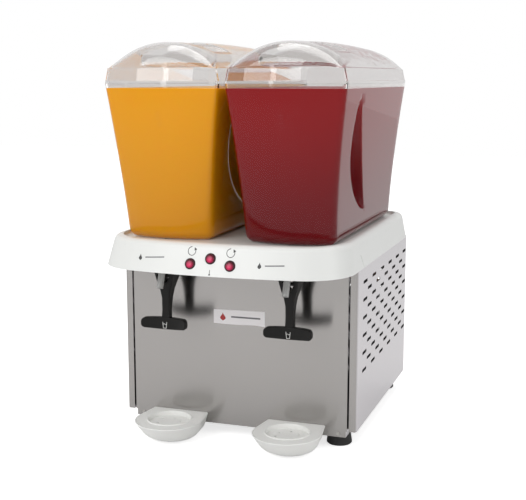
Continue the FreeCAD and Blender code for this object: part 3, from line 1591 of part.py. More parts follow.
def make_refrigerant_lines(pot, unit):
    """Copper lines from the pot round the condenser and drier to the evaporators and back."""
    radius = float(size.pipe_radius)
    bend = 14.0
    px, py, pz = float(pot.x), float(pot.y), float(pot.low)
    pot_top = pz + float(size.compressor_height)
    low, high = float(unit.low), float(unit.high)
    cx, near, far = float(unit.middle), float(unit.near), float(unit.far)
    low_tube, high_tube = low + 20, high - 20
    crown = float(at.panel_top) - 20
    dx, dy = float(drier_spot()[0]), float(drier_spot()[1])
    dz = low + 40
    back = far + 52
    discharge = pipe([(px + 20, py, pot_top), (px + 20, py, pot_top + 34),
                      (px + 20, back, pot_top + 34), (cx, back, pot_top + 34),
                      (cx, back, high_tube), (cx, far + 6, high_tube)], radius, bend)
    liquid = pipe([(cx, far + 6, low_tube), (cx, dy, low_tube), (dx, dy, low_tube),
                   (dx, dy, dz)], radius, bend * 0.6)
    ring = float(size.evaporator_flange) - 7.5
    port = 8.0
    left_x = -float(size.tank_spacing) / 2
    right_x = float(size.tank_spacing) / 2
    ey = float(at.evaporator_y) + math.sqrt(ring ** 2 - port ** 2)
    under = float(at.flange_under)
    thin = radius * 0.7
    feed = pipe([(dx, dy, dz + DRIER_LENGTH), (dx, dy, crown), (dx, ey, crown),
                 (right_x - port, ey, crown), (right_x - port, ey, under)], thin, bend * 0.6)
    link = pipe([(right_x + port, ey, under), (right_x + port, ey, crown - 12),
                 (left_x + port, ey, crown - 12), (left_x + port, ey, under)], thin, bend * 0.6)
    suction = pipe([(left_x - port, ey, under), (left_x - port, ey, crown - 24),
                    (left_x - port, py + 15, crown - 24), (left_x - port, py + 15, pot_top)],
                   radius, bend * 0.6)
    return [discharge, liquid, feed, link, suction]


DRIER_LENGTH = 80.0


def drier_spot():
    return 15.0, at.front + 330


def make_drier():
    x, y = drier_spot()
    low = at.tray_floor + 40
    body = revolved("drier", [(0, 0), (4, 0), (10, 10), (10, DRIER_LENGTH - 10),
                              (4, DRIER_LENGTH), (0, DRIER_LENGTH)], (x, y, low))
    node(body, "filter_drier")


def make_controls():
    """The thermostat and the terminal box, on the left inside the cabinet."""
    left = -(at.half_width - size.sheet_gauge)
    low = at.tray_floor
    front = at.front + 60
    base = slab((left + 40, left + 130), (front, front + 60), (low, low + 40))
    lid = slab((left + 38, left + 132), (front - 2, front + 62), (low + 40, low + 44))
    node(fused([base, lid]), "terminal_box")
    top = at.panel_top - size.sheet_gauge * 2
    body = slab((-30, 24), (at.front + 16, at.front + 44), (top - 50, at.panel_top))
    spindle = cylinder((-3, at.front + 44, top - 25), 4, 12, "y")
    node(fused([body, spindle]), "thermostat")


def build():
    make_base_tray()
    screws = make_feet()
    make_front_panel()
    for name, sign in SIDES.items():
        make_side_panel(name, sign)
    make_rear_panel()
    make_cord_gland()
    node(group(screws + make_panel_screws()), "screws")
    make_top_cover()
    make_insulation()
    make_buttons()
    for name, sign in SIDES.items():
        make_tank(name, sign)
        make_lid(name, sign)
        make_evaporator(name, sign)
        make_tank_seal(name, sign)
        make_impeller(name, sign)
        make_stirrer_drive(name, sign)
        make_spout(name, sign)
        make_tap_mount(name, sign)
        make_lever_pin(name, sign)
        make_lever(name, sign)
        make_lever_spring(name, sign)
        make_drip_cup(name, sign)
        make_drip_plate(name, sign)
    pot = make_compressor()
    unit = make_condenser()
    make_fan(unit)
    make_drier()
    make_controls()
    node(computed(Part.makeCompound(make_refrigerant_lines(pot, unit))), "refrigerant_lines")


def check():
    """Stop if any object failed to build or any piece is not a sound solid."""
    for obj in doc.Objects:
        if "Invalid" in obj.State or "Error" in obj.State:
            raise RuntimeError(f"{obj.Name} ({obj.Label}) failed: {obj.State}")
    for label, obj in NODES.items():
        shape = obj.Shape
        if shape.isNull() or not shape.isValid() or not shape.Solids:
            raise RuntimeError(f"{label} is not a valid solid")


doc = FreeCAD.newDocument("juice_dispenser")
size = make_sheet()
tie_widths()
at = shared_places()
build()
doc.recompute()
check()
os.makedirs("parts", exist_ok=True)
for label, obj in NODES.items():
    obj.Shape.exportStep(f"parts/{label}.step")
    bounds = obj.Shape.BoundBox
    print(f"{label:26s} solids {len(obj.Shape.Solids):2d}  volume {obj.Shape.Volume:12.1f}  "
          f"x {bounds.XMin:7.1f} {bounds.XMax:7.1f}  y {bounds.YMin:7.1f} {bounds.YMax:7.1f}  "
          f"z {bounds.ZMin:6.1f} {bounds.ZMax:6.1f}")
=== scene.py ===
"""Looks of a refrigerated twin-tank juice dispenser, in metres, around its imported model."""
import math

import bmesh
import bpy
import numpy as np
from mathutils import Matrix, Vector


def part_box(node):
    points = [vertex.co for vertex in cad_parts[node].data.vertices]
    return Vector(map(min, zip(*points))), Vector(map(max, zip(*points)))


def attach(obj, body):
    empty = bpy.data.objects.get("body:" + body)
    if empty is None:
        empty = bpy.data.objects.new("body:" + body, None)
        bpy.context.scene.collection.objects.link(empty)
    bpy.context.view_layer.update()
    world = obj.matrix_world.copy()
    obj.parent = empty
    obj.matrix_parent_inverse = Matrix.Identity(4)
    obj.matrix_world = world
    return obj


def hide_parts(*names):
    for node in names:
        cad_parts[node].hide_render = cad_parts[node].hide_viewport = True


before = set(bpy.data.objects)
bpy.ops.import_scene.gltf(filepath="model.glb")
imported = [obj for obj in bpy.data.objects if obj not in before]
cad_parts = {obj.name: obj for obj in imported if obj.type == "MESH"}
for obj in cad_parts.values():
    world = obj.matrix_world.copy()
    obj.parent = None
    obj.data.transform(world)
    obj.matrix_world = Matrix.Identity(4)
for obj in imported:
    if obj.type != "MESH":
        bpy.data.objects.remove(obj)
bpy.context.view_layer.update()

MM = 0.001
SIDES = {"left": -1, "right": 1}


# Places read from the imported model

def span(node):
    """Lowest and highest corner of a CAD node as arrays."""
    low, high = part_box(node)
    return np.array(low), np.array(high)


FRONT = span("front_panel")[0][1]


# Shader groups

def tree_of(material):
    return material.node_tree.nodes, material.node_tree.links


def group(name, inputs, outputs):
    """An empty shader group with named sockets; each input has its starting value."""
    made = bpy.data.node_groups.new(name, "ShaderNodeTree")
    for label, kind, value in inputs:
        socket = made.interface.new_socket(label, in_out="INPUT", socket_type=kind)
        socket.default_value = value
    for label, kind in outputs:
        made.interface.new_socket(label, in_out="OUTPUT", socket_type=kind)
    entry = made.nodes.new("NodeGroupInput")
    leave = made.nodes.new("NodeGroupOutput")
    return made, entry, leave


FLOAT, COLOR, VECTOR = "NodeSocketFloat", "NodeSocketColor", "NodeSocketVector"


def maths(nodes, links, operation, first, second):
    """One Math node; each operand is a socket or a number."""
    made = nodes.new("ShaderNodeMath")
    made.operation = operation
    for slot, value in zip(made.inputs, (first, second)):
        if isinstance(value, bpy.types.NodeSocket):
            links.new(value, slot)
        else:
            slot.default_value = value
    return made.outputs[0]


def noise(nodes, links, vector, scale, detail=3.0, roughness=0.5):
    """A noise texture on a vector socket; scale is a socket or a number."""
    made = nodes.new("ShaderNodeTexNoise")
    links.new(vector, made.inputs["Vector"])
    if isinstance(scale, bpy.types.NodeSocket):
        links.new(scale, made.inputs["Scale"])
    else:
        made.inputs["Scale"].default_value = scale
    made.inputs["Detail"].default_value = detail
    made.inputs["Roughness"].default_value = roughness
    return made.outputs["Fac"]


def vector_maths(nodes, links, operation, vector, other):
    """One Vector Math node on a socket; the other operand is a socket or three numbers."""
    made = nodes.new("ShaderNodeVectorMath")
    made.operation = operation
    links.new(vector, made.inputs[0])
    if isinstance(other, bpy.types.NodeSocket):
        links.new(other, made.inputs[1])
    else:
        made.inputs[1].default_value = other
    return made.outputs[0]


def ramp_between(nodes, links, value, low, high):
    """0 below low and 1 above high; low and high are sockets or numbers."""
    made = nodes.new("ShaderNodeMapRange")
    links.new(value, made.inputs["Value"])
    for label, bound in (("From Min", low), ("From Max", high)):
        if isinstance(bound, bpy.types.NodeSocket):
            links.new(bound, made.inputs[label])
        else:
            made.inputs[label].default_value = bound
    return made


def blend_colors(nodes, links, factor, first, second):
    """The first colour at factor 0 and the second at 1; each is a socket or three numbers."""
    made = nodes.new("ShaderNodeMix")
    made.data_type = "RGBA"
    links.new(factor, made.inputs["Factor"])
    sockets = [socket for socket in made.inputs if socket.type == "RGBA"]
    for slot, value in zip(sockets, (first, second)):
        if isinstance(value, bpy.types.NodeSocket):
            links.new(value, slot)
        else:
            slot.default_value = (*value, 1.0)
    return next(socket for socket in made.outputs if socket.type == "RGBA")


def mix_shaders(nodes, links, factor, first, second, output):
    """The first shader at factor 0 and the second at 1, led to an output node's surface."""
    mix = nodes.new("ShaderNodeMixShader")
    links.new(factor, mix.inputs["Fac"])
    links.new(first, mix.inputs[1])
    links.new(second, mix.inputs[2])
    links.new(mix.outputs["Shader"], nodes[output].inputs["Surface"])


def build_moulded_group():
    """Moulded plastic: a fine grain, a slow unevenness and a faint change of tone."""
    made, entry, leave = group(
        "moulded surface",
        [("Color", COLOR, (0.8, 0.8, 0.8, 1.0)), ("Grain size", FLOAT, 900.0),
         ("Tone change", FLOAT, 0.04), ("Roughness", FLOAT, 0.35),
         ("Roughness change", FLOAT, 0.08)],
        [("Color", COLOR), ("Roughness", FLOAT), ("Height", FLOAT)])
    nodes, links = made.nodes, made.links
    place = nodes.new("ShaderNodeTexCoord").outputs["Object"]
    fine = noise(nodes, links, place, entry.outputs["Grain size"], 2.0)
    slow = noise(nodes, links, place, 14.0, 3.0)
    swing = maths(nodes, links, "SUBTRACT", slow, 0.5)
    tone = maths(nodes, links, "MULTIPLY", swing, entry.outputs["Tone change"])
    tone = maths(nodes, links, "MULTIPLY", tone, 2.0)
    shade = nodes.new("ShaderNodeHueSaturation")
    links.new(entry.outputs["Color"], shade.inputs["Color"])
    links.new(maths(nodes, links, "ADD", tone, 1.0), shade.inputs["Value"])
    links.new(shade.outputs["Color"], leave.inputs["Color"])
    change = maths(nodes, links, "MULTIPLY", swing, entry.outputs["Roughness change"])
    change = maths(nodes, links, "MULTIPLY", change, 2.0)
    links.new(maths(nodes, links, "ADD", change, entry.outputs["Roughness"]),
              leave.inputs["Roughness"])
    height = maths(nodes, links, "MULTIPLY", slow, 4.0)
    links.new(maths(nodes, links, "ADD", fine, height), leave.inputs["Height"])
    return made


def build_brushed_group():
    """Brushed or rolled metal: long thin streaks along one way, with faint wider bands."""
    made, entry, leave = group(
        "brushed metal",
        [("Color", COLOR, (0.6, 0.6, 0.6, 1.0)), ("Streaks", VECTOR, (900.0, 900.0, 12.0)),
         ("Tone change", FLOAT, 0.08), ("Roughness", FLOAT, 0.28),
         ("Roughness change", FLOAT, 0.1)],
        [("Color", COLOR), ("Roughness", FLOAT), ("Height", FLOAT)])
    nodes, links = made.nodes, made.links
    place = nodes.new("ShaderNodeTexCoord").outputs["Object"]
    stretched = vector_maths(nodes, links, "MULTIPLY", place, entry.outputs["Streaks"])
    streak = noise(nodes, links, stretched, 1.0, 4.0, 0.6)
    cloud = noise(nodes, links, place, 9.0, 4.0, 0.6)
    both = maths(nodes, links, "ADD", streak, maths(nodes, links, "MULTIPLY", cloud, 0.6))
    swing = maths(nodes, links, "SUBTRACT", both, 0.8)
    tone = maths(nodes, links, "MULTIPLY", swing, entry.outputs["Tone change"])
    shade = nodes.new("ShaderNodeHueSaturation")
    links.new(entry.outputs["Color"], shade.inputs["Color"])
    links.new(maths(nodes, links, "ADD", tone, 1.0), shade.inputs["Value"])
    links.new(shade.outputs["Color"], leave.inputs["Color"])
    change = maths(nodes, links, "MULTIPLY", swing, entry.outputs["Roughness change"])
    links.new(maths(nodes, links, "ADD", change, entry.outputs["Roughness"]),
              leave.inputs["Roughness"])
    links.new(streak, leave.inputs["Height"])
    return made


def build_smudge_group():
    """Faint wiping and dust on clear or glossy faces, as a change of roughness."""
    made, entry, leave = group(
        "wiped surface", [("Roughness", FLOAT, 0.03), ("Amount", FLOAT, 0.05)],
        [("Roughness", FLOAT), ("Height", FLOAT)])
    nodes, links = made.nodes, made.links
    place = nodes.new("ShaderNodeTexCoord").outputs["Object"]
    stretched = vector_maths(nodes, links, "MULTIPLY", place, (1.0, 1.0, 0.45))
    cloud = noise(nodes, links, stretched, 26.0, 6.0, 0.65)
    ramp = ramp_between(nodes, links, cloud, 0.52, 0.8)
    dull = maths(nodes, links, "MULTIPLY", ramp.outputs["Result"], entry.outputs["Amount"])
    links.new(maths(nodes, links, "ADD", dull, entry.outputs["Roughness"]),
              leave.inputs["Roughness"])
    links.new(noise(nodes, links, place, 18.0, 2.0), leave.inputs["Height"])
    return made


def build_juice_light_group():
    """Colour of juice seen through its tank: painted light near the top, painted shade deeper
    below, and softly clouded.
    """
    made, entry, leave = group(
        "juice depth",
        [("Top color", COLOR, (1.0, 0.5, 0.05, 1.0)), ("Deep color", COLOR, (0.6, 0.3, 0.02, 1.0)),
         ("Top level", FLOAT, 0.55), ("Bottom level", FLOAT, 0.33), ("Cloud", FLOAT, 0.06)],
        [("Color", COLOR)])
    nodes, links = made.nodes, made.links
    place = nodes.new("ShaderNodeTexCoord").outputs["Object"]
    split = nodes.new("ShaderNodeSeparateXYZ")
    links.new(place, split.inputs[0])
    # Painted light and shade: the colour goes from the shaded deep colour at Bottom level to the
    # lit top colour at Top level.
    ramp = ramp_between(nodes, links, split.outputs["Z"], entry.outputs["Bottom level"],
                        entry.outputs["Top level"])
    ramp.interpolation_type = "SMOOTHSTEP"
    cloud = noise(nodes, links, place, 16.0, 4.0, 0.55)
    swing = maths(nodes, links, "MULTIPLY", maths(nodes, links, "SUBTRACT", cloud, 0.5),
                  entry.outputs["Cloud"])
    share = maths(nodes, links, "ADD", ramp.outputs["Result"], swing)
    blend = blend_colors(nodes, links, share, entry.outputs["Deep color"],
                         entry.outputs["Top color"])
    links.new(blend, leave.inputs["Color"])
    return made


def build_round_group():
    """0 near an axis along y through Centre, rising to 1 at the outer radius."""
    made, entry, leave = group(
        "round fade",
        [("Centre", VECTOR, (0.0, 0.0, 0.0)), ("Inner", FLOAT, 0.001), ("Outer", FLOAT, 0.006)],
        [("Mask", FLOAT)])
    nodes, links = made.nodes, made.links
    place = nodes.new("ShaderNodeTexCoord").outputs["Object"]
    away = vector_maths(nodes, links, "SUBTRACT", place, entry.outputs["Centre"])
    flat = vector_maths(nodes, links, "MULTIPLY", away, (1.0, 0.0, 1.0))
    length = nodes.new("ShaderNodeVectorMath")
    length.operation = "LENGTH"
    links.new(flat, length.inputs[0])
    ramp = ramp_between(nodes, links, length.outputs["Value"], entry.outputs["Inner"],
                        entry.outputs["Outer"])
    links.new(ramp.outputs["Result"], leave.inputs["Mask"])
    return made


MOULDED = build_moulded_group()
BRUSHED = build_brushed_group()
WIPED = build_smudge_group()
JUICE_TOP_LIGHT = build_juice_light_group()
ROUND_FADE = build_round_group()


# Materials

def principled(name, **sockets):
    """A material with a Principled BSDF; keyword names are socket names with _ for a space."""
    made = bpy.data.materials.new(name)
    made.use_nodes = True
    shader = made.node_tree.nodes["Principled BSDF"]
    for key, value in sockets.items():
        shader.inputs[key.replace("_", " ")].default_value = value
    return made, shader


def place_group(material, tree, **values):
    nodes = material.node_tree.nodes
    made = nodes.new("ShaderNodeGroup")
    made.node_tree = tree
    for key, value in values.items():
        made.inputs[key.replace("_", " ")].default_value = value
    return made


def add_bump(material, shader, height, distance):
    nodes, links = tree_of(material)
    bump = nodes.new("ShaderNodeBump")
    bump.inputs["Distance"].default_value = distance
    bump.inputs["Strength"].default_value = 1.0
    links.new(height, bump.inputs["Height"])
    links.new(bump.outputs["Normal"], shader.inputs["Normal"])


def moulded(name, color, roughness, bump=0.00002, grain=900.0, tone=0.04, **sockets):
    """A moulded plastic or rubber finish."""
    made, shader = principled(name, **sockets)
    links = made.node_tree.links
    surface = place_group(made, MOULDED, Color=(*color, 1.0), Grain_size=grain,
                          Tone_change=tone, Roughness=roughness)
    links.new(surface.outputs["Color"], shader.inputs["Base Color"])
    links.new(surface.outputs["Roughness"], shader.inputs["Roughness"])
    add_bump(made, shader, surface.outputs["Height"], bump)
    return made


STREAK_BUMP = 0.01 * MM
WIPED_BUMP = 0.03 * MM


def brushed(name, color, roughness, streaks, tone=0.08, change=0.1, **sockets):
    """A metal finish with streaks along one way."""
    made, shader = principled(name, Metallic=1.0, **sockets)
    links = made.node_tree.links
    surface = place_group(made, BRUSHED, Color=(*color, 1.0), Streaks=streaks,
                          Tone_change=tone, Roughness=roughness, Roughness_change=change)
    links.new(surface.outputs["Color"], shader.inputs["Base Color"])
    links.new(surface.outputs["Roughness"], shader.inputs["Roughness"])
    add_bump(made, shader, surface.outputs["Height"], STREAK_BUMP)
    return made


def clear(name, color, edge_color, straight_after, ior=1.49, roughness=0.02, amount=0.04,
          **sockets):
    """Clear plastic: refracts what is seen through it, and lets the lamps' light pass.

    Its tint deepens where a wall is seen at a slant, because the way through it is longer.
    Rays pass straight on once their depth is past straight_after.
    """
    made, shader = principled(name, Transmission_Weight=1.0, IOR=ior, **sockets)
    nodes, links = tree_of(made)
    surface = place_group(made, WIPED, Roughness=roughness, Amount=amount)
    links.new(surface.outputs["Roughness"], shader.inputs["Roughness"])
    add_bump(made, shader, surface.outputs["Height"], WIPED_BUMP)
    slant = nodes.new("ShaderNodeLayerWeight")
    slant.inputs["Blend"].default_value = 0.35
    tint = blend_colors(nodes, links, slant.outputs["Facing"], color, edge_color)
    links.new(tint, shader.inputs["Base Color"])
    rays = nodes.new("ShaderNodeLightPath")
    through = maths(nodes, links, "MAXIMUM", rays.outputs["Is Shadow Ray"],
                    rays.outputs["Is Diffuse Ray"])
    deep = maths(nodes, links, "GREATER_THAN", rays.outputs["Ray Depth"], straight_after)
    through = maths(nodes, links, "MAXIMUM", through, deep)
    passing = nodes.new("ShaderNodeBsdfTransparent")
    passing.inputs["Color"].default_value = (0.95, 0.945, 0.94, 1.0)
    mix_shaders(nodes, links, through, shader.outputs["BSDF"], passing.outputs["BSDF"],
                "Material Output")
    return made


def cap_with_painted_light(name, centre):
    """A crimson cap with painted light: bright crimson at its centre, fading to painted shade
    towards its edge.
    """
    made, shader = principled(name, Specular_IOR_Level=0.35)
    nodes, links = tree_of(made)
    painted_light_fade = place_group(made, ROUND_FADE, Centre=centre, Inner=1.2 * MM, Outer=7.0 * MM)
    # Painted light: the first colour is the painted bright centre, the second the painted shade at
    # the edge.
    tint = blend_colors(nodes, links, painted_light_fade.outputs["Mask"], (0.78, 0.03, 0.13),
                        (0.07, 0.0015, 0.009))
    surface = place_group(made, MOULDED, Tone_change=0.05, Roughness=0.22)
    links.new(tint, surface.inputs["Color"])
    links.new(surface.outputs["Color"], shader.inputs["Base Color"])
    links.new(surface.outputs["Roughness"], shader.inputs["Roughness"])
    return made


def sheet_with_painted_side_light(name, front_color, painted_side_light_color, roughness, streaks, **sockets):
    """Brushed sheet whose bent front edges follow the panel. Faces turned sideways get a paler,
    lilac-grey colour: the lilac tone is the sheet's own, and the paleness is painted light standing
    in for the brighter light those faces catch.
    """
    made = brushed(name, front_color, roughness, streaks, tone=0.03, change=0.04, **sockets)
    nodes, links = tree_of(made)
    split = nodes.new("ShaderNodeSeparateXYZ")
    links.new(nodes.new("ShaderNodeTexCoord").outputs["Normal"], split.inputs[0])
    sideways = maths(nodes, links, "ABSOLUTE", split.outputs["X"], 0.0)
    # Painted side light: the colour turns paler where the face points along x.
    ramp = ramp_between(nodes, links, sideways, 0.6, 0.9)
    tint = blend_colors(nodes, links, ramp.outputs["Result"], front_color, painted_side_light_color)
    surface = next(node for node in nodes if node.type == "GROUP")
    links.new(tint, surface.inputs["Color"])
    return made


def juice(name, top, deep, top_level, bottom_level, cloud, **sockets):
    """Juice in its tank."""
    made, shader = principled(name, **sockets)
    links = made.node_tree.links
    surface = place_group(made, JUICE_TOP_LIGHT, Top_color=(*top, 1.0), Deep_color=(*deep, 1.0),
                          Top_level=top_level, Bottom_level=bottom_level, Cloud=cloud)
    links.new(surface.outputs["Color"], shader.inputs["Base Color"])
    return made


LOOKS = {
    "cover_white": moulded("white cover", (0.80, 0.81, 0.79), 0.34, tone=0.02,
                           Coat_Weight=0.25, Coat_Roughness=0.2),
    # The satin sheet's second colour is painted side light on its sideways faces.
    "sheet_steel": sheet_with_painted_side_light("satin steel sheet", (0.375, 0.36, 0.35),
                                   (0.60, 0.575, 0.595), 0.2, (7.0, 7.0, 900.0),
                                   Anisotropic=0.85, Anisotropic_Rotation=0.25),
    "clear_plastic": clear("clear tank", (0.95, 0.945, 0.94), (0.86, 0.84, 0.83), 5.5,
                           ior=1.58, roughness=0.004, amount=0.02,
                           Specular_Tint=(0.35, 0.34, 0.35, 1.0)),
    "lid_clear": clear("clear lid", (0.80, 0.79, 0.785), (0.72, 0.70, 0.695), 4.5),
    "black_plastic": moulded("black lever plastic", (0.007, 0.0066, 0.006), 0.48, grain=1400.0,
                             Specular_IOR_Level=0.22),
    "cup_white": moulded("white cup plastic", (0.93, 0.93, 0.90), 0.38, tone=0.02,
                         Subsurface_Weight=0.3, Subsurface_Scale=0.01,
                         Subsurface_Radius=(0.5, 0.5, 0.5)),
    "white_plastic": moulded("white nylon", (0.78, 0.79, 0.77), 0.45),
    "silicone": moulded("silicone", (0.42, 0.42, 0.41), 0.3, Coat_Weight=0.3),
    "black_rubber": moulded("black rubber", (0.02, 0.02, 0.02), 0.7, bump=0.00006, grain=1800.0),
    "polished_steel": brushed("polished steel", (0.72, 0.72, 0.71), 0.16, (30.0, 30.0, 900.0)),
    "black_steel": moulded("black enamel", (0.02, 0.02, 0.022), 0.3, bump=0.00004,
                           Coat_Weight=0.4),
    "bare_aluminium": brushed("mill aluminium", (0.70, 0.71, 0.72), 0.34, (40.0, 900.0, 40.0)),
    "copper": brushed("drawn copper", (0.72, 0.34, 0.20), 0.3, (200.0, 200.0, 200.0)),
    "foam": moulded("cream foam", (0.80, 0.74, 0.55), 0.85, bump=0.0004, grain=500.0, tone=0.1),
    "switch_dark": moulded("dark red bezel", (0.035, 0.004, 0.009), 0.3,
                           Specular_IOR_Level=0.2),
    "zinc": brushed("zinc plating", (0.45, 0.44, 0.42), 0.32, (120.0, 120.0, 120.0)),
    "print": moulded("dark print", (0.05, 0.05, 0.05), 0.5),
    "grey_print": moulded("grey print", (0.16, 0.16, 0.17), 0.5),
    "pale_print": moulded("pale print", (0.75, 0.75, 0.73), 0.5),
    "red_print": moulded("red print", (0.40, 0.03, 0.03), 0.5),
    "label": moulded("label film", (0.86, 0.83, 0.84), 0.4, tone=0.03),
}

NODE_LOOKS = {
    "sheet_steel": ["base_tray", "front_panel", "side_panel_left", "side_panel_right",
                    "rear_panel"],
    "black_rubber": ["foot_front_left", "foot_front_right", "foot_rear_left", "foot_rear_right",
                     "compressor_grommets"],
    "zinc": ["screws", "fan_bracket"],
    "black_plastic": ["cord_gland", "fan_shroud", "tap_lever_left", "tap_lever_right"],
    "cover_white": ["top_cover"],
    "foam": ["insulation"],
    "black_steel": ["compressor", "fan_motor", "stirrer_motor_left", "stirrer_motor_right"],
    "bare_aluminium": ["condenser", "fan_blade"],
    "copper": ["filter_drier", "refrigerant_lines"],
    "white_plastic": ["terminal_box", "thermostat", "impeller_left", "impeller_right",
                      "spout_fitting_left", "spout_fitting_right", "tap_mount_left",
                      "tap_mount_right"],
    "switch_dark": ["switch_left", "switch_centre", "switch_right"],
    "clear_plastic": ["tank_left", "tank_right"],
    "lid_clear": ["lid_left", "lid_right"],
    "polished_steel": ["evaporator_left", "evaporator_right", "drive_magnet_left",
                       "drive_magnet_right", "lever_pin_left", "lever_pin_right",
                       "lever_spring_left", "lever_spring_right"],
    "silicone": ["tank_seal_left", "tank_seal_right", "spout_tube_left", "spout_tube_right"],
    "cup_white": ["drip_cup_left", "drip_cup_right", "drip_plate_left", "drip_plate_right"],
}


def dress(name, material):
    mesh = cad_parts[name].data
    mesh.materials.clear()
    mesh.materials.append(material)


def dress_nodes():
    """Give every CAD node its finish."""
    for look, names in NODE_LOOKS.items():
        for name in names:
            dress(name, LOOKS[look])
    for place in ("left", "centre", "right"):
        low, high = span("button_" + place)
        dress("button_" + place, cap_with_painted_light("crimson cap " + place, tuple((low + high) / 2)))


# Meshes from arrays

def finish_piece(name, points, faces, material, body, crease=math.radians(30)):
    """Make a closed piece of points and faces, weld it, and set it on its body."""
    mesh = bpy.data.meshes.new(name)
    mesh.from_pydata(points.reshape(-1, 3).tolist(), [], faces)
    work = bmesh.new()
    work.from_mesh(mesh)
    bmesh.ops.remove_doubles(work, verts=work.verts, dist=0.000005)
    bmesh.ops.recalc_face_normals(work, faces=work.faces)
    work.to_mesh(mesh)
    work.free()
    mesh.materials.append(material)
    mesh.shade_smooth()
    mesh.set_sharp_from_angle(angle=crease)
    made = bpy.data.objects.new(name, mesh)
    bpy.context.scene.collection.objects.link(made)
    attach(made, body)
    return made


def ring_faces(rows, columns, close_rows=False):
    """Quads of a grid whose columns go round, and whose rows may close on themselves."""
    steps = rows if close_rows else rows - 1
    row = np.arange(steps)[:, None]
    column = np.arange(columns)[None, :]
    after_row = (row + 1) % rows
    after_column = (column + 1) % columns
    corners = [row * columns + column, row * columns + after_column,
               after_row * columns + after_column, after_row * columns + column]
    faces = np.stack([np.broadcast_to(corner, (steps, columns)) for corner in corners], -1)
    return faces.reshape(-1, 4).tolist()


# Tank form: the construction's, with a hand scoop that begins farther back

TANK_X = 97.5 * MM
TANK_LOW = 324.3 * MM
TANK_HIGH = 562.0 * MM
TANK_WALL = 3.0 * MM
TANK_FLOOR = 331.4 * MM
TANK_ROUND = 13.5 * MM
SCOOP_TOP = 542.0 * MM
SCOOP_HEIGHT = 180.0 * MM
SCOOP_DEPTH = 17.3 * MM
SCOOP_RISER = 4.0 * MM
RECESS_RADIUS = 61.5 * MM
RECESS_TOP = 328.0 * MM
OPENING_RADIUS = 51.0 * MM
DOME_Y = FRONT + 150.0 * MM
TAP_X = 101.4 * MM
OUTLET_Y = FRONT - 35.5 * MM
SCOOP_LEVELS = SCOOP_TOP - SCOOP_HEIGHT * (1 - np.linspace(0, 1, 31) ** 1.3)
FRONT_COLUMNS, CORNER_COLUMNS, SIDE_COLUMNS, RISER_COLUMNS = 28, 8, 14, 3


def tank_measures(level, inset):
    """Half width, front y, rear y, corner radius and bow of a tank's plan at each level.

    Half the width grows with the height to the power 1.5, and the front's reach eases.
    """
    share = (level - TANK_LOW) / (TANK_HIGH - TANK_LOW)
    half = (71.5 + 21.7 * np.clip(share, 0, None) ** 1.5) * MM - inset
    reach = (54.0 + 27.0 * share * (1.25 - 0.25 * share)) * MM - inset
    rear = (340.0 + 15.0 * share) * MM - inset
    corner = (16.0 - 7.5 * share) * MM - inset
    return half, FRONT - reach, FRONT + rear, corner, np.radians(22.0 - 7.0 * share)


def scoop_form(level, inset):
    """Depth of the hand scoop at each level, and the y where it begins and is deepest.

    The depth goes with sin(pi * share ** 0.75) ** 0.8 of the scoop's height. The way in is four
    times as long as it is deep, and 5 mm more. The line of the deepest points leans back downwards.
    """
    share = np.clip((level - SCOOP_TOP + SCOOP_HEIGHT) / SCOOP_HEIGHT, 0, 1)
    depth = SCOOP_DEPTH * np.clip(np.sin(np.pi * share ** 0.75), 0, 1) ** 0.8
    slope = SCOOP_RISER / np.maximum(depth, 0.1 * MM)
    deep = FRONT + 32.0 * MM + 0.53 * SCOOP_HEIGHT * (1 - share)
    near = deep - 4.0 * depth - 5.0 * MM
    return depth, near, deep + inset * (np.sqrt(1 + slope ** 2) - slope)


def tank_plan(level, inset):
    """A tank's plan at each level, as arrays of x and y.

    The front is a shallow arc, joined to the sides and a straight rear by round corners. Each
    side runs straight, slopes in to the scoop's depth, comes out over a short riser, and runs
    straight to the rear. Every stretch has a fixed share of the columns, so plans at different
    levels match point for point.
    """
    level = np.asarray(level, float)[:, None]
    half, front, rear, corner, bow = tank_measures(level, inset)
    depth, scoop_near, deep = scoop_form(level, inset)
    end_x = half - corner + corner * np.sin(bow)
    centre_y = front + end_x * np.tan(bow / 2) + corner * np.cos(bow)
    quarter = np.pi / 2
    steps = np.linspace(-1, 1, FRONT_COLUMNS, endpoint=False)[None, :]
    arc_radius = end_x / np.sin(bow)
    front_x = arc_radius * np.sin(bow * steps)
    front_y = front + arc_radius * (1 - np.cos(bow * steps))
    turn = np.linspace(0, 1, CORNER_COLUMNS, endpoint=False)[None, :]
    angle = (quarter - bow) * (1 - turn)
    near_x = half - corner + corner * np.cos(angle)
    near_y = centre_y - corner * np.sin(angle)
    along = np.linspace(0, 1, SIDE_COLUMNS, endpoint=False)[None, :]
    flat_x = half + 0 * along
    flat_y = centre_y + (scoop_near - centre_y) * along
    slope_x = half - depth * along
    slope_y = scoop_near + (deep - scoop_near) * along
    short = np.linspace(0, 1, RISER_COLUMNS, endpoint=False)[None, :]
    riser_x = half - depth * (1 - short)
    riser_y = deep + SCOOP_RISER * short
    side_x = half + 0 * along
    side_y = deep + SCOOP_RISER + (rear - corner - deep - SCOOP_RISER) * along
    angle = quarter * turn + 0 * half
    far_x = half - corner + corner * np.cos(angle)
    far_y = rear - corner + corner * np.sin(angle)
    back = np.linspace(1, -1, FRONT_COLUMNS, endpoint=False)[None, :]
    back_x = (half - corner) * back
    back_y = rear + 0 * back_x
    right_x = np.concatenate([near_x, flat_x, slope_x, riser_x, side_x, far_x], 1)
    right_y = np.concatenate([near_y, flat_y, slope_y, riser_y, side_y, far_y], 1)
    x = [front_x, right_x, back_x, -right_x[:, ::-1]]
    y = [front_y, right_y, back_y, right_y[:, ::-1]]
    return np.concatenate(x, 1), np.concatenate(y, 1)


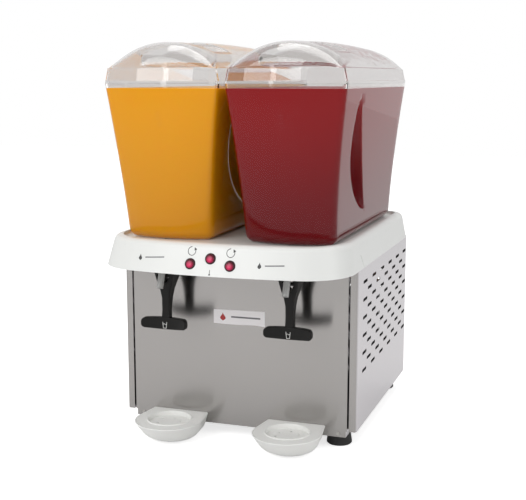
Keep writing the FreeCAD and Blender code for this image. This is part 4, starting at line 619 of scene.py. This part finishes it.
def ring_at(rows, radius, height):
    """A circle round the dome's axis in the last row's directions, kept inside the last row."""
    x, y, _ = rows[-1]
    away = np.hypot(x, y - DOME_Y)
    share = np.minimum(radius / np.maximum(away, 1e-9), 1)
    return x * share, DOME_Y + (y - DOME_Y) * share, height + 0 * x


def wall_rows(levels, inset):
    """The plan at each of several levels, as rows of x, y and z."""
    x, y = tank_plan(levels, inset)
    return [(x[i], y[i], levels[i] + 0 * x[i]) for i in range(len(levels))]


def bottom_rows(floor, inset, radius):
    """The rounded bottom edge: a quarter circle from the wall down and in to the floor."""
    rows = []
    for angle in np.radians(np.linspace(0, 90, 7)[1:]):
        level = floor + radius * (1 - math.sin(angle))
        rows += wall_rows([level], inset + radius * (1 - math.cos(angle)))
    return rows


def levels_between(high, low):
    """Levels from high down to low that take in the scoop's own, closer at its foot."""
    inside = SCOOP_LEVELS[::-1]
    return np.concatenate([np.linspace(high, inside[0], 4)[:-1], inside,
                           np.linspace(inside[-1], low, 4)[1:]])


def in_place(rows, sign):
    """Rows of x, y and z as one array of points, moved to the left or right tank's place."""
    points = np.array([np.stack(row, 1) for row in rows])
    points[:, :, 0] += sign * TANK_X
    return points


def make_tank(side, sign):
    """A clear tank: one closed wall with a recess and a hole for the dome's sealing ring.

    Its rows go out across the underside, up the outside, down the inside and in across the
    floor, and the last row joins the first.
    """
    inner_round = TANK_ROUND - TANK_WALL
    outside = wall_rows(levels_between(TANK_HIGH, TANK_LOW + TANK_ROUND), 0.0)
    outside += bottom_rows(TANK_LOW, 0.0, TANK_ROUND)
    inside = wall_rows(levels_between(TANK_HIGH, TANK_FLOOR + inner_round), TANK_WALL)
    inside += bottom_rows(TANK_FLOOR, TANK_WALL, inner_round)
    rows = [ring_at(outside, RECESS_RADIUS, TANK_LOW)] + outside[::-1] + inside
    rows += [ring_at(inside, OPENING_RADIUS, TANK_FLOOR),
             ring_at(inside, OPENING_RADIUS, RECESS_TOP),
             ring_at(inside, RECESS_RADIUS, RECESS_TOP)]
    points = in_place(rows, sign)
    faces = ring_faces(points.shape[0], points.shape[1], close_rows=True)
    made = finish_piece("shell_" + side, points, faces, LOOKS["clear_plastic"], "tank_" + side)
    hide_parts("tank_" + side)


def make_outlet(side, sign):
    """The tank's outlet: a short tube turned round an upright axis."""
    angle = np.linspace(0, 2 * np.pi, 48, endpoint=False)
    profile = [(4.0, 316.3), (6.0, 316.3), (6.0, 331.0), (4.0, 331.0)]
    points = np.array([np.stack([sign * TAP_X + radius * MM * np.cos(angle),
                                 OUTLET_Y + radius * MM * np.sin(angle),
                                 level * MM + 0 * angle], 1) for radius, level in profile])
    faces = ring_faces(len(profile), len(angle), close_rows=True)
    finish_piece("outlet_" + side, points, faces, LOOKS["clear_plastic"], "tank_" + side)


JUICE_LEVEL = 554.0 * MM


def make_juice(side, sign, material):
    """Juice up to its level, with a small meniscus and a hollow for the cooling dome.

    The surface is a stack of plans: in from the wall across the top, down the wall, round the
    bottom edge, in across the floor to a circle, and up that circle to the top of the dome.
    """
    into_wall = TANK_WALL - 0.6 * MM
    floor = 326.2 * MM
    round_radius = 12.0 * MM
    x, y = tank_plan([JUICE_LEVEL], into_wall)
    rows = []
    meniscus = 1.5 * MM
    for share in (0.0, 0.3, 0.6, 0.85, 0.95, 0.985, 1.0):
        lift = meniscus * math.exp(-(1 - share) * 40)
        rows.append((x[0] * share, DOME_Y + (y[0] - DOME_Y) * share,
                     JUICE_LEVEL + lift + 0 * x[0]))
    rows += wall_rows(levels_between(JUICE_LEVEL, floor + round_radius)[1:], into_wall)
    rows += bottom_rows(floor, into_wall, round_radius)
    hollow, top = 51.5 * MM, 478.0 * MM
    for radius, height in ((hollow, floor), (hollow, top - 10 * MM), (0.9 * hollow, top),
                           (0.6 * hollow, top), (0.0, top)):
        rows.append(ring_at(rows, max(radius, 1e-6), height))
    points = in_place(rows, sign)
    faces = ring_faces(points.shape[0], points.shape[1])
    finish_piece("juice_" + side, points, faces, material, "tank_" + side,
                 crease=math.radians(20))


def make_juices():
    # Each juice's first colour is its painted lit top and its second is the painted shade below.
    orange = juice("orange juice", (0.88, 0.37, 0.004), (0.74, 0.31, 0.006), 0.555, 0.34, 0.1,
                   Roughness=0.4, Subsurface_Weight=0.2, Subsurface_Scale=0.01,
                   Specular_IOR_Level=0.05)
    red = juice("red juice", (0.27, 0.004, 0.006), (0.15, 0.003, 0.006), 0.555, 0.34, 0.05,
                Roughness=0.4, Specular_IOR_Level=0.05)
    make_juice("left", -1, orange)
    make_juice("right", 1, red)


def make_tanks():
    for side, sign in SIDES.items():
        make_tank(side, sign)
        make_outlet(side, sign)


# Printed and moulded marks

SUNK = 0.05 * MM


def ribbon(path, widths):
    """Both edges of a line along a path in a mark's plane, half a width to each side of it."""
    path = np.asarray(path, float)
    way = np.gradient(path, axis=0)
    way /= np.hypot(way[:, 0], way[:, 1])[:, None]
    half = (np.ones(len(path)) * widths / 2)[:, None]
    across = np.stack([-way[:, 1], way[:, 0]], 1) * half
    return path - across, path + across


def straight(first, last, width, count=8):
    """A straight line of one width, in steps, so that it can follow a bowed surface."""
    share = np.linspace(0, 1, count)[:, None]
    return ribbon(np.asarray(first) * (1 - share) + np.asarray(last) * share, width)


def drop(u, v, width, height):
    """A drop: half its width goes with sin(pi * share ** 1.7) from its tip to its foot."""
    share = np.linspace(0, 1, 22)
    path = np.stack([u + 0 * share, v + height * (0.5 - share)], 1)
    return ribbon(path, width * np.sin(np.pi * share ** 1.7) + 0.03 * width)


def raised_mark(name, strokes, surface, material, body, rise=0.06 * MM):
    """Strokes laid on a surface, each a closed strip sunk a little into it.

    surface(u, v, out) gives x, y and z of the point that lies out from the surface at u, v.
    """
    points, faces, start = [], [], 0
    for first, second in strokes:
        corners = [(first, -SUNK), (second, -SUNK), (second, rise), (first, rise)]
        rows = [np.stack(surface(edge[:, 0], edge[:, 1], out), 1) for edge, out in corners]
        points.append(np.stack(rows, 1).reshape(-1, 3))
        last = start + 4 * len(first)
        faces += (np.array(ring_faces(len(first), 4)) + start).tolist()
        faces += [list(range(start, start + 4)), list(range(last - 4, last))]
        start = last
    return finish_piece(name, np.concatenate(points), faces, material, body)


def on_panel(u, v, out):
    """The front panel's face: u across and v up."""
    return u, FRONT - out + 0 * u, v


APRON_HALF = 198.5 * MM
APRON_REACH = 122.5 * MM
APRON_RAKE = 16.0 * MM
APRON_BOW = math.radians(9.0)
APRON_CORNER = 78.0 * MM
APRON_LOW = 284.5 * MM
APRON_HEIGHT = 45.5 * MM
APRON_BEND = (APRON_HALF - APRON_CORNER) / math.sin(APRON_BOW) + APRON_CORNER


def on_apron(u, v, out):
    """The cover's bowed and raked front: u across, v up from its lower edge."""
    bowed = APRON_BEND - np.sqrt(APRON_BEND ** 2 - u ** 2)
    return u, FRONT - APRON_REACH + APRON_RAKE * v / APRON_HEIGHT + bowed - out, APRON_LOW + v


def on_paddle(sign):
    """A lever paddle's hollow front: a cylinder of 66 mm radius, u across and v up."""
    def surface(u, v, out):
        hollow = np.sqrt((66.0 * MM) ** 2 - u ** 2)
        return sign * TAP_X + u, FRONT - 117.5 * MM + hollow - out, v
    return surface


def on_tank(sign):
    """A tank's bowed front: u across and v up."""
    def surface(u, v, out):
        half, front, _, corner, bow = tank_measures(v, 0.0)
        radius = (half - corner) / np.sin(bow) + corner
        return sign * TANK_X + u, front + radius - np.sqrt(radius ** 2 - u ** 2) - out, v
    return surface


def turning_arrow(u, v):
    """An open ring from twelve o'clock by nine and six to two, with a tapered head."""
    radius = 6.1 * MM

    def arc(first, last, count, widths):
        angle = np.radians(np.linspace(first, last, count))
        path = np.stack([u + radius * np.cos(angle), v + radius * np.sin(angle)], 1)
        return ribbon(path, widths)

    return [arc(93, 385, 40, 0.95 * MM), arc(376, 414, 8, np.linspace(4.4, 0.4, 8) * MM)]


def thermometer(u, v):
    """A thin stem over a round bulb; the bulb's half width is its circle's chord."""
    height = np.linspace(9.5, 1.75, 36) * MM
    bulb = np.sqrt(np.clip((1.25 * MM) ** 2 - (height - 2.9 * MM) ** 2, 0, None))
    path = np.stack([u + 0 * height, v + height], 1)
    return [ribbon(path, np.maximum(2 * bulb, 0.8 * MM))]


def tumbler(v):
    """A glass in outline, wider at its top, with a rippled drink line across it."""
    wall = 0.7 * MM
    left_top, left_low = (-4.9 * MM, v + 5 * MM), (-3.9 * MM, v - 5 * MM)
    right_low, right_top = (0.9 * MM, v - 5 * MM), (1.9 * MM, v + 5 * MM)
    share = np.linspace(0, 1, 16)
    ripple = v + 1.4 * MM + 0.5 * MM * np.sin(2 * np.pi * share)
    line = ribbon(np.stack([-4.5 * MM + 6.0 * MM * share, ripple], 1), wall)
    return [straight(left_top, left_low, wall), straight(left_low, right_low, wall),
            straight(right_low, right_top, wall), line]


def make_marks():
    """The cover's signs, the panel's label, the paddles' tumblers and the tanks' level bars."""
    signs = turning_arrow(-30.5 * MM, 34.6 * MM) + turning_arrow(30.5 * MM, 34.6 * MM)
    signs += thermometer(0.9 * MM, 0.0)
    signs += [drop(-115.5 * MM, 20.6 * MM, 5.4 * MM, 9 * MM),
              drop(75.5 * MM, 18.9 * MM, 5.4 * MM, 9 * MM)]
    raised_mark("cover_signs", signs, on_apron, LOOKS["print"], "cabinet")
    dashes = [straight((-107 * MM, 20.9 * MM), (-75 * MM, 23.2 * MM), 1.5 * MM, 20),
              straight((83.5 * MM, 18.9 * MM), (112 * MM, 20.1 * MM), 1.5 * MM, 20)]
    raised_mark("cover_dashes", dashes, on_apron, LOOKS["grey_print"], "cabinet")
    share = np.linspace(0, 1, 30)
    across = (-40.5 + 86.0 * share) * MM
    top = np.stack([across, (207.3 + 1.5 * share) * MM], 1)
    wave = 185.0 - 0.5 * share - 1.3 * np.sin(2 * np.pi * share) * share
    low = np.stack([across, wave * MM], 1)
    raised_mark("panel_label", [(low, top)], on_panel, LOOKS["label"], "cabinet",
                rise=0.15 * MM)
    raised_mark("label_drop", [drop(-25 * MM, 196.4 * MM, 9 * MM, 13 * MM)], on_panel,
                LOOKS["red_print"], "cabinet", rise=0.2 * MM)
    raised_mark("label_dash", [straight((-11 * MM, 196.8 * MM), (38 * MM, 197.0 * MM), 2.6 * MM)],
                on_panel, LOOKS["grey_print"], "cabinet", rise=0.2 * MM)
    for side, sign in SIDES.items():
        raised_mark("paddle_sign_" + side, tumbler(188.0 * MM), on_paddle(sign),
                    LOOKS["pale_print"], "tap_lever_" + side)
        bars = [straight((-3.2 * MM, level * MM), (3.2 * MM, level * MM), 0.8 * MM, 5)
                for level in (517.6, 512.1, 506.2, 500.7)]
        raised_mark("level_bars_" + side, bars, on_tank(sign), LOOKS["clear_plastic"],
                    "tank_" + side, rise=0.4 * MM)


# Stage, lamps and camera

def seen_share(nodes, links, mirrored):
    """1 for what the camera sees or sees through clear pieces, and a share where it is mirrored."""
    rays = nodes.new("ShaderNodeLightPath")
    glossy = maths(nodes, links, "MULTIPLY", rays.outputs["Is Glossy Ray"], mirrored)
    seen = maths(nodes, links, "MAXIMUM", rays.outputs["Is Camera Ray"], glossy)
    return maths(nodes, links, "MAXIMUM", seen, rays.outputs["Is Transmission Ray"])


def make_floor():
    """A wide floor that looks white from the camera and keeps the object's shadow."""
    made = bpy.data.materials.new("pale floor")
    made.use_nodes = True
    nodes, links = tree_of(made)
    shader = nodes["Principled BSDF"]
    shader.inputs["Base Color"].default_value = (0.8, 0.8, 0.8, 1)
    shader.inputs["Roughness"].default_value = 0.7
    shader.inputs["Specular IOR Level"].default_value = 0.0
    glow = nodes.new("ShaderNodeEmission")
    glow.inputs["Strength"].default_value = 0.7
    both = nodes.new("ShaderNodeAddShader")
    links.new(shader.outputs["BSDF"], both.inputs[0])
    links.new(glow.outputs["Emission"], both.inputs[1])
    mix_shaders(nodes, links, seen_share(nodes, links, 0.25), shader.outputs["BSDF"],
                both.outputs["Shader"], "Material Output")
    mesh = bpy.data.meshes.new("floor")
    reach = 6.0
    mesh.from_pydata([(-reach, -reach, 0), (reach, -reach, 0), (reach, reach, 0),
                      (-reach, reach, 0)], [], [(0, 1, 2, 3)])
    mesh.materials.append(made)
    floor = bpy.data.objects.new("floor", mesh)
    bpy.context.scene.collection.objects.link(floor)


def make_world():
    """White where it is seen, partly where it is mirrored, and a dimmer white where it lights."""
    world = bpy.data.worlds.new("studio")
    bpy.context.scene.world = world
    world.use_nodes = True
    nodes, links = world.node_tree.nodes, world.node_tree.links
    plain = nodes["Background"]
    plain.inputs["Strength"].default_value = 0.62
    white = nodes.new("ShaderNodeBackground")
    plain.inputs["Color"].default_value = (1, 1, 1, 1)
    white.inputs["Color"].default_value = (1, 1, 1, 1)
    white.inputs["Strength"].default_value = 1.0
    mix_shaders(nodes, links, seen_share(nodes, links, 0.4), plain.outputs["Background"],
                white.outputs["Background"], "World Output")


LAMPS = {
    "front softbox": ((-0.9, -2.2, 1.9), 1.6, 1.6, 23.0),
    "strip softbox": ((-0.95, -2.5, 1.15), 0.14, 1.3, 1.8),
    "right softbox": ((2.2, -0.5, 1.3), 1.2, 1.8, 6.5),
    "top softbox": ((0.0, 0.2, 2.4), 1.4, 1.4, 15.0),
}


def make_lamps():
    """Large soft lamps that look at the middle of the object."""
    target = Vector((0, 0, 0.32))
    for name, (at, width, height, power) in LAMPS.items():
        data = bpy.data.lights.new(name, "AREA")
        data.shape = "RECTANGLE"
        data.size = width
        data.size_y = height
        data.energy = power
        lamp = bpy.data.objects.new(name, data)
        lamp.location = at
        lamp.rotation_euler = (target - Vector(at)).to_track_quat("-Z", "Y").to_euler()
        bpy.context.scene.collection.objects.link(lamp)


def make_camera():
    """The photograph's view: from the right and a little above, looking slightly down."""
    data = bpy.data.cameras.new("camera")
    data.lens = 70.75
    data.sensor_width = 36.0
    camera = bpy.data.objects.new("camera", data)
    camera.location = (0.5556, -1.62375, 0.571)
    way = Vector((-0.3199, 0.9331, -0.1645))
    camera.rotation_euler = way.to_track_quat("-Z", "Y").to_euler()
    bpy.context.scene.collection.objects.link(camera)
    bpy.context.scene.camera = camera


make_camera()
make_world()
make_lamps()
make_floor()
dress_nodes()
make_tanks()
make_juices()
make_marks()
bpy.context.scene.view_settings.view_transform = "Standard"
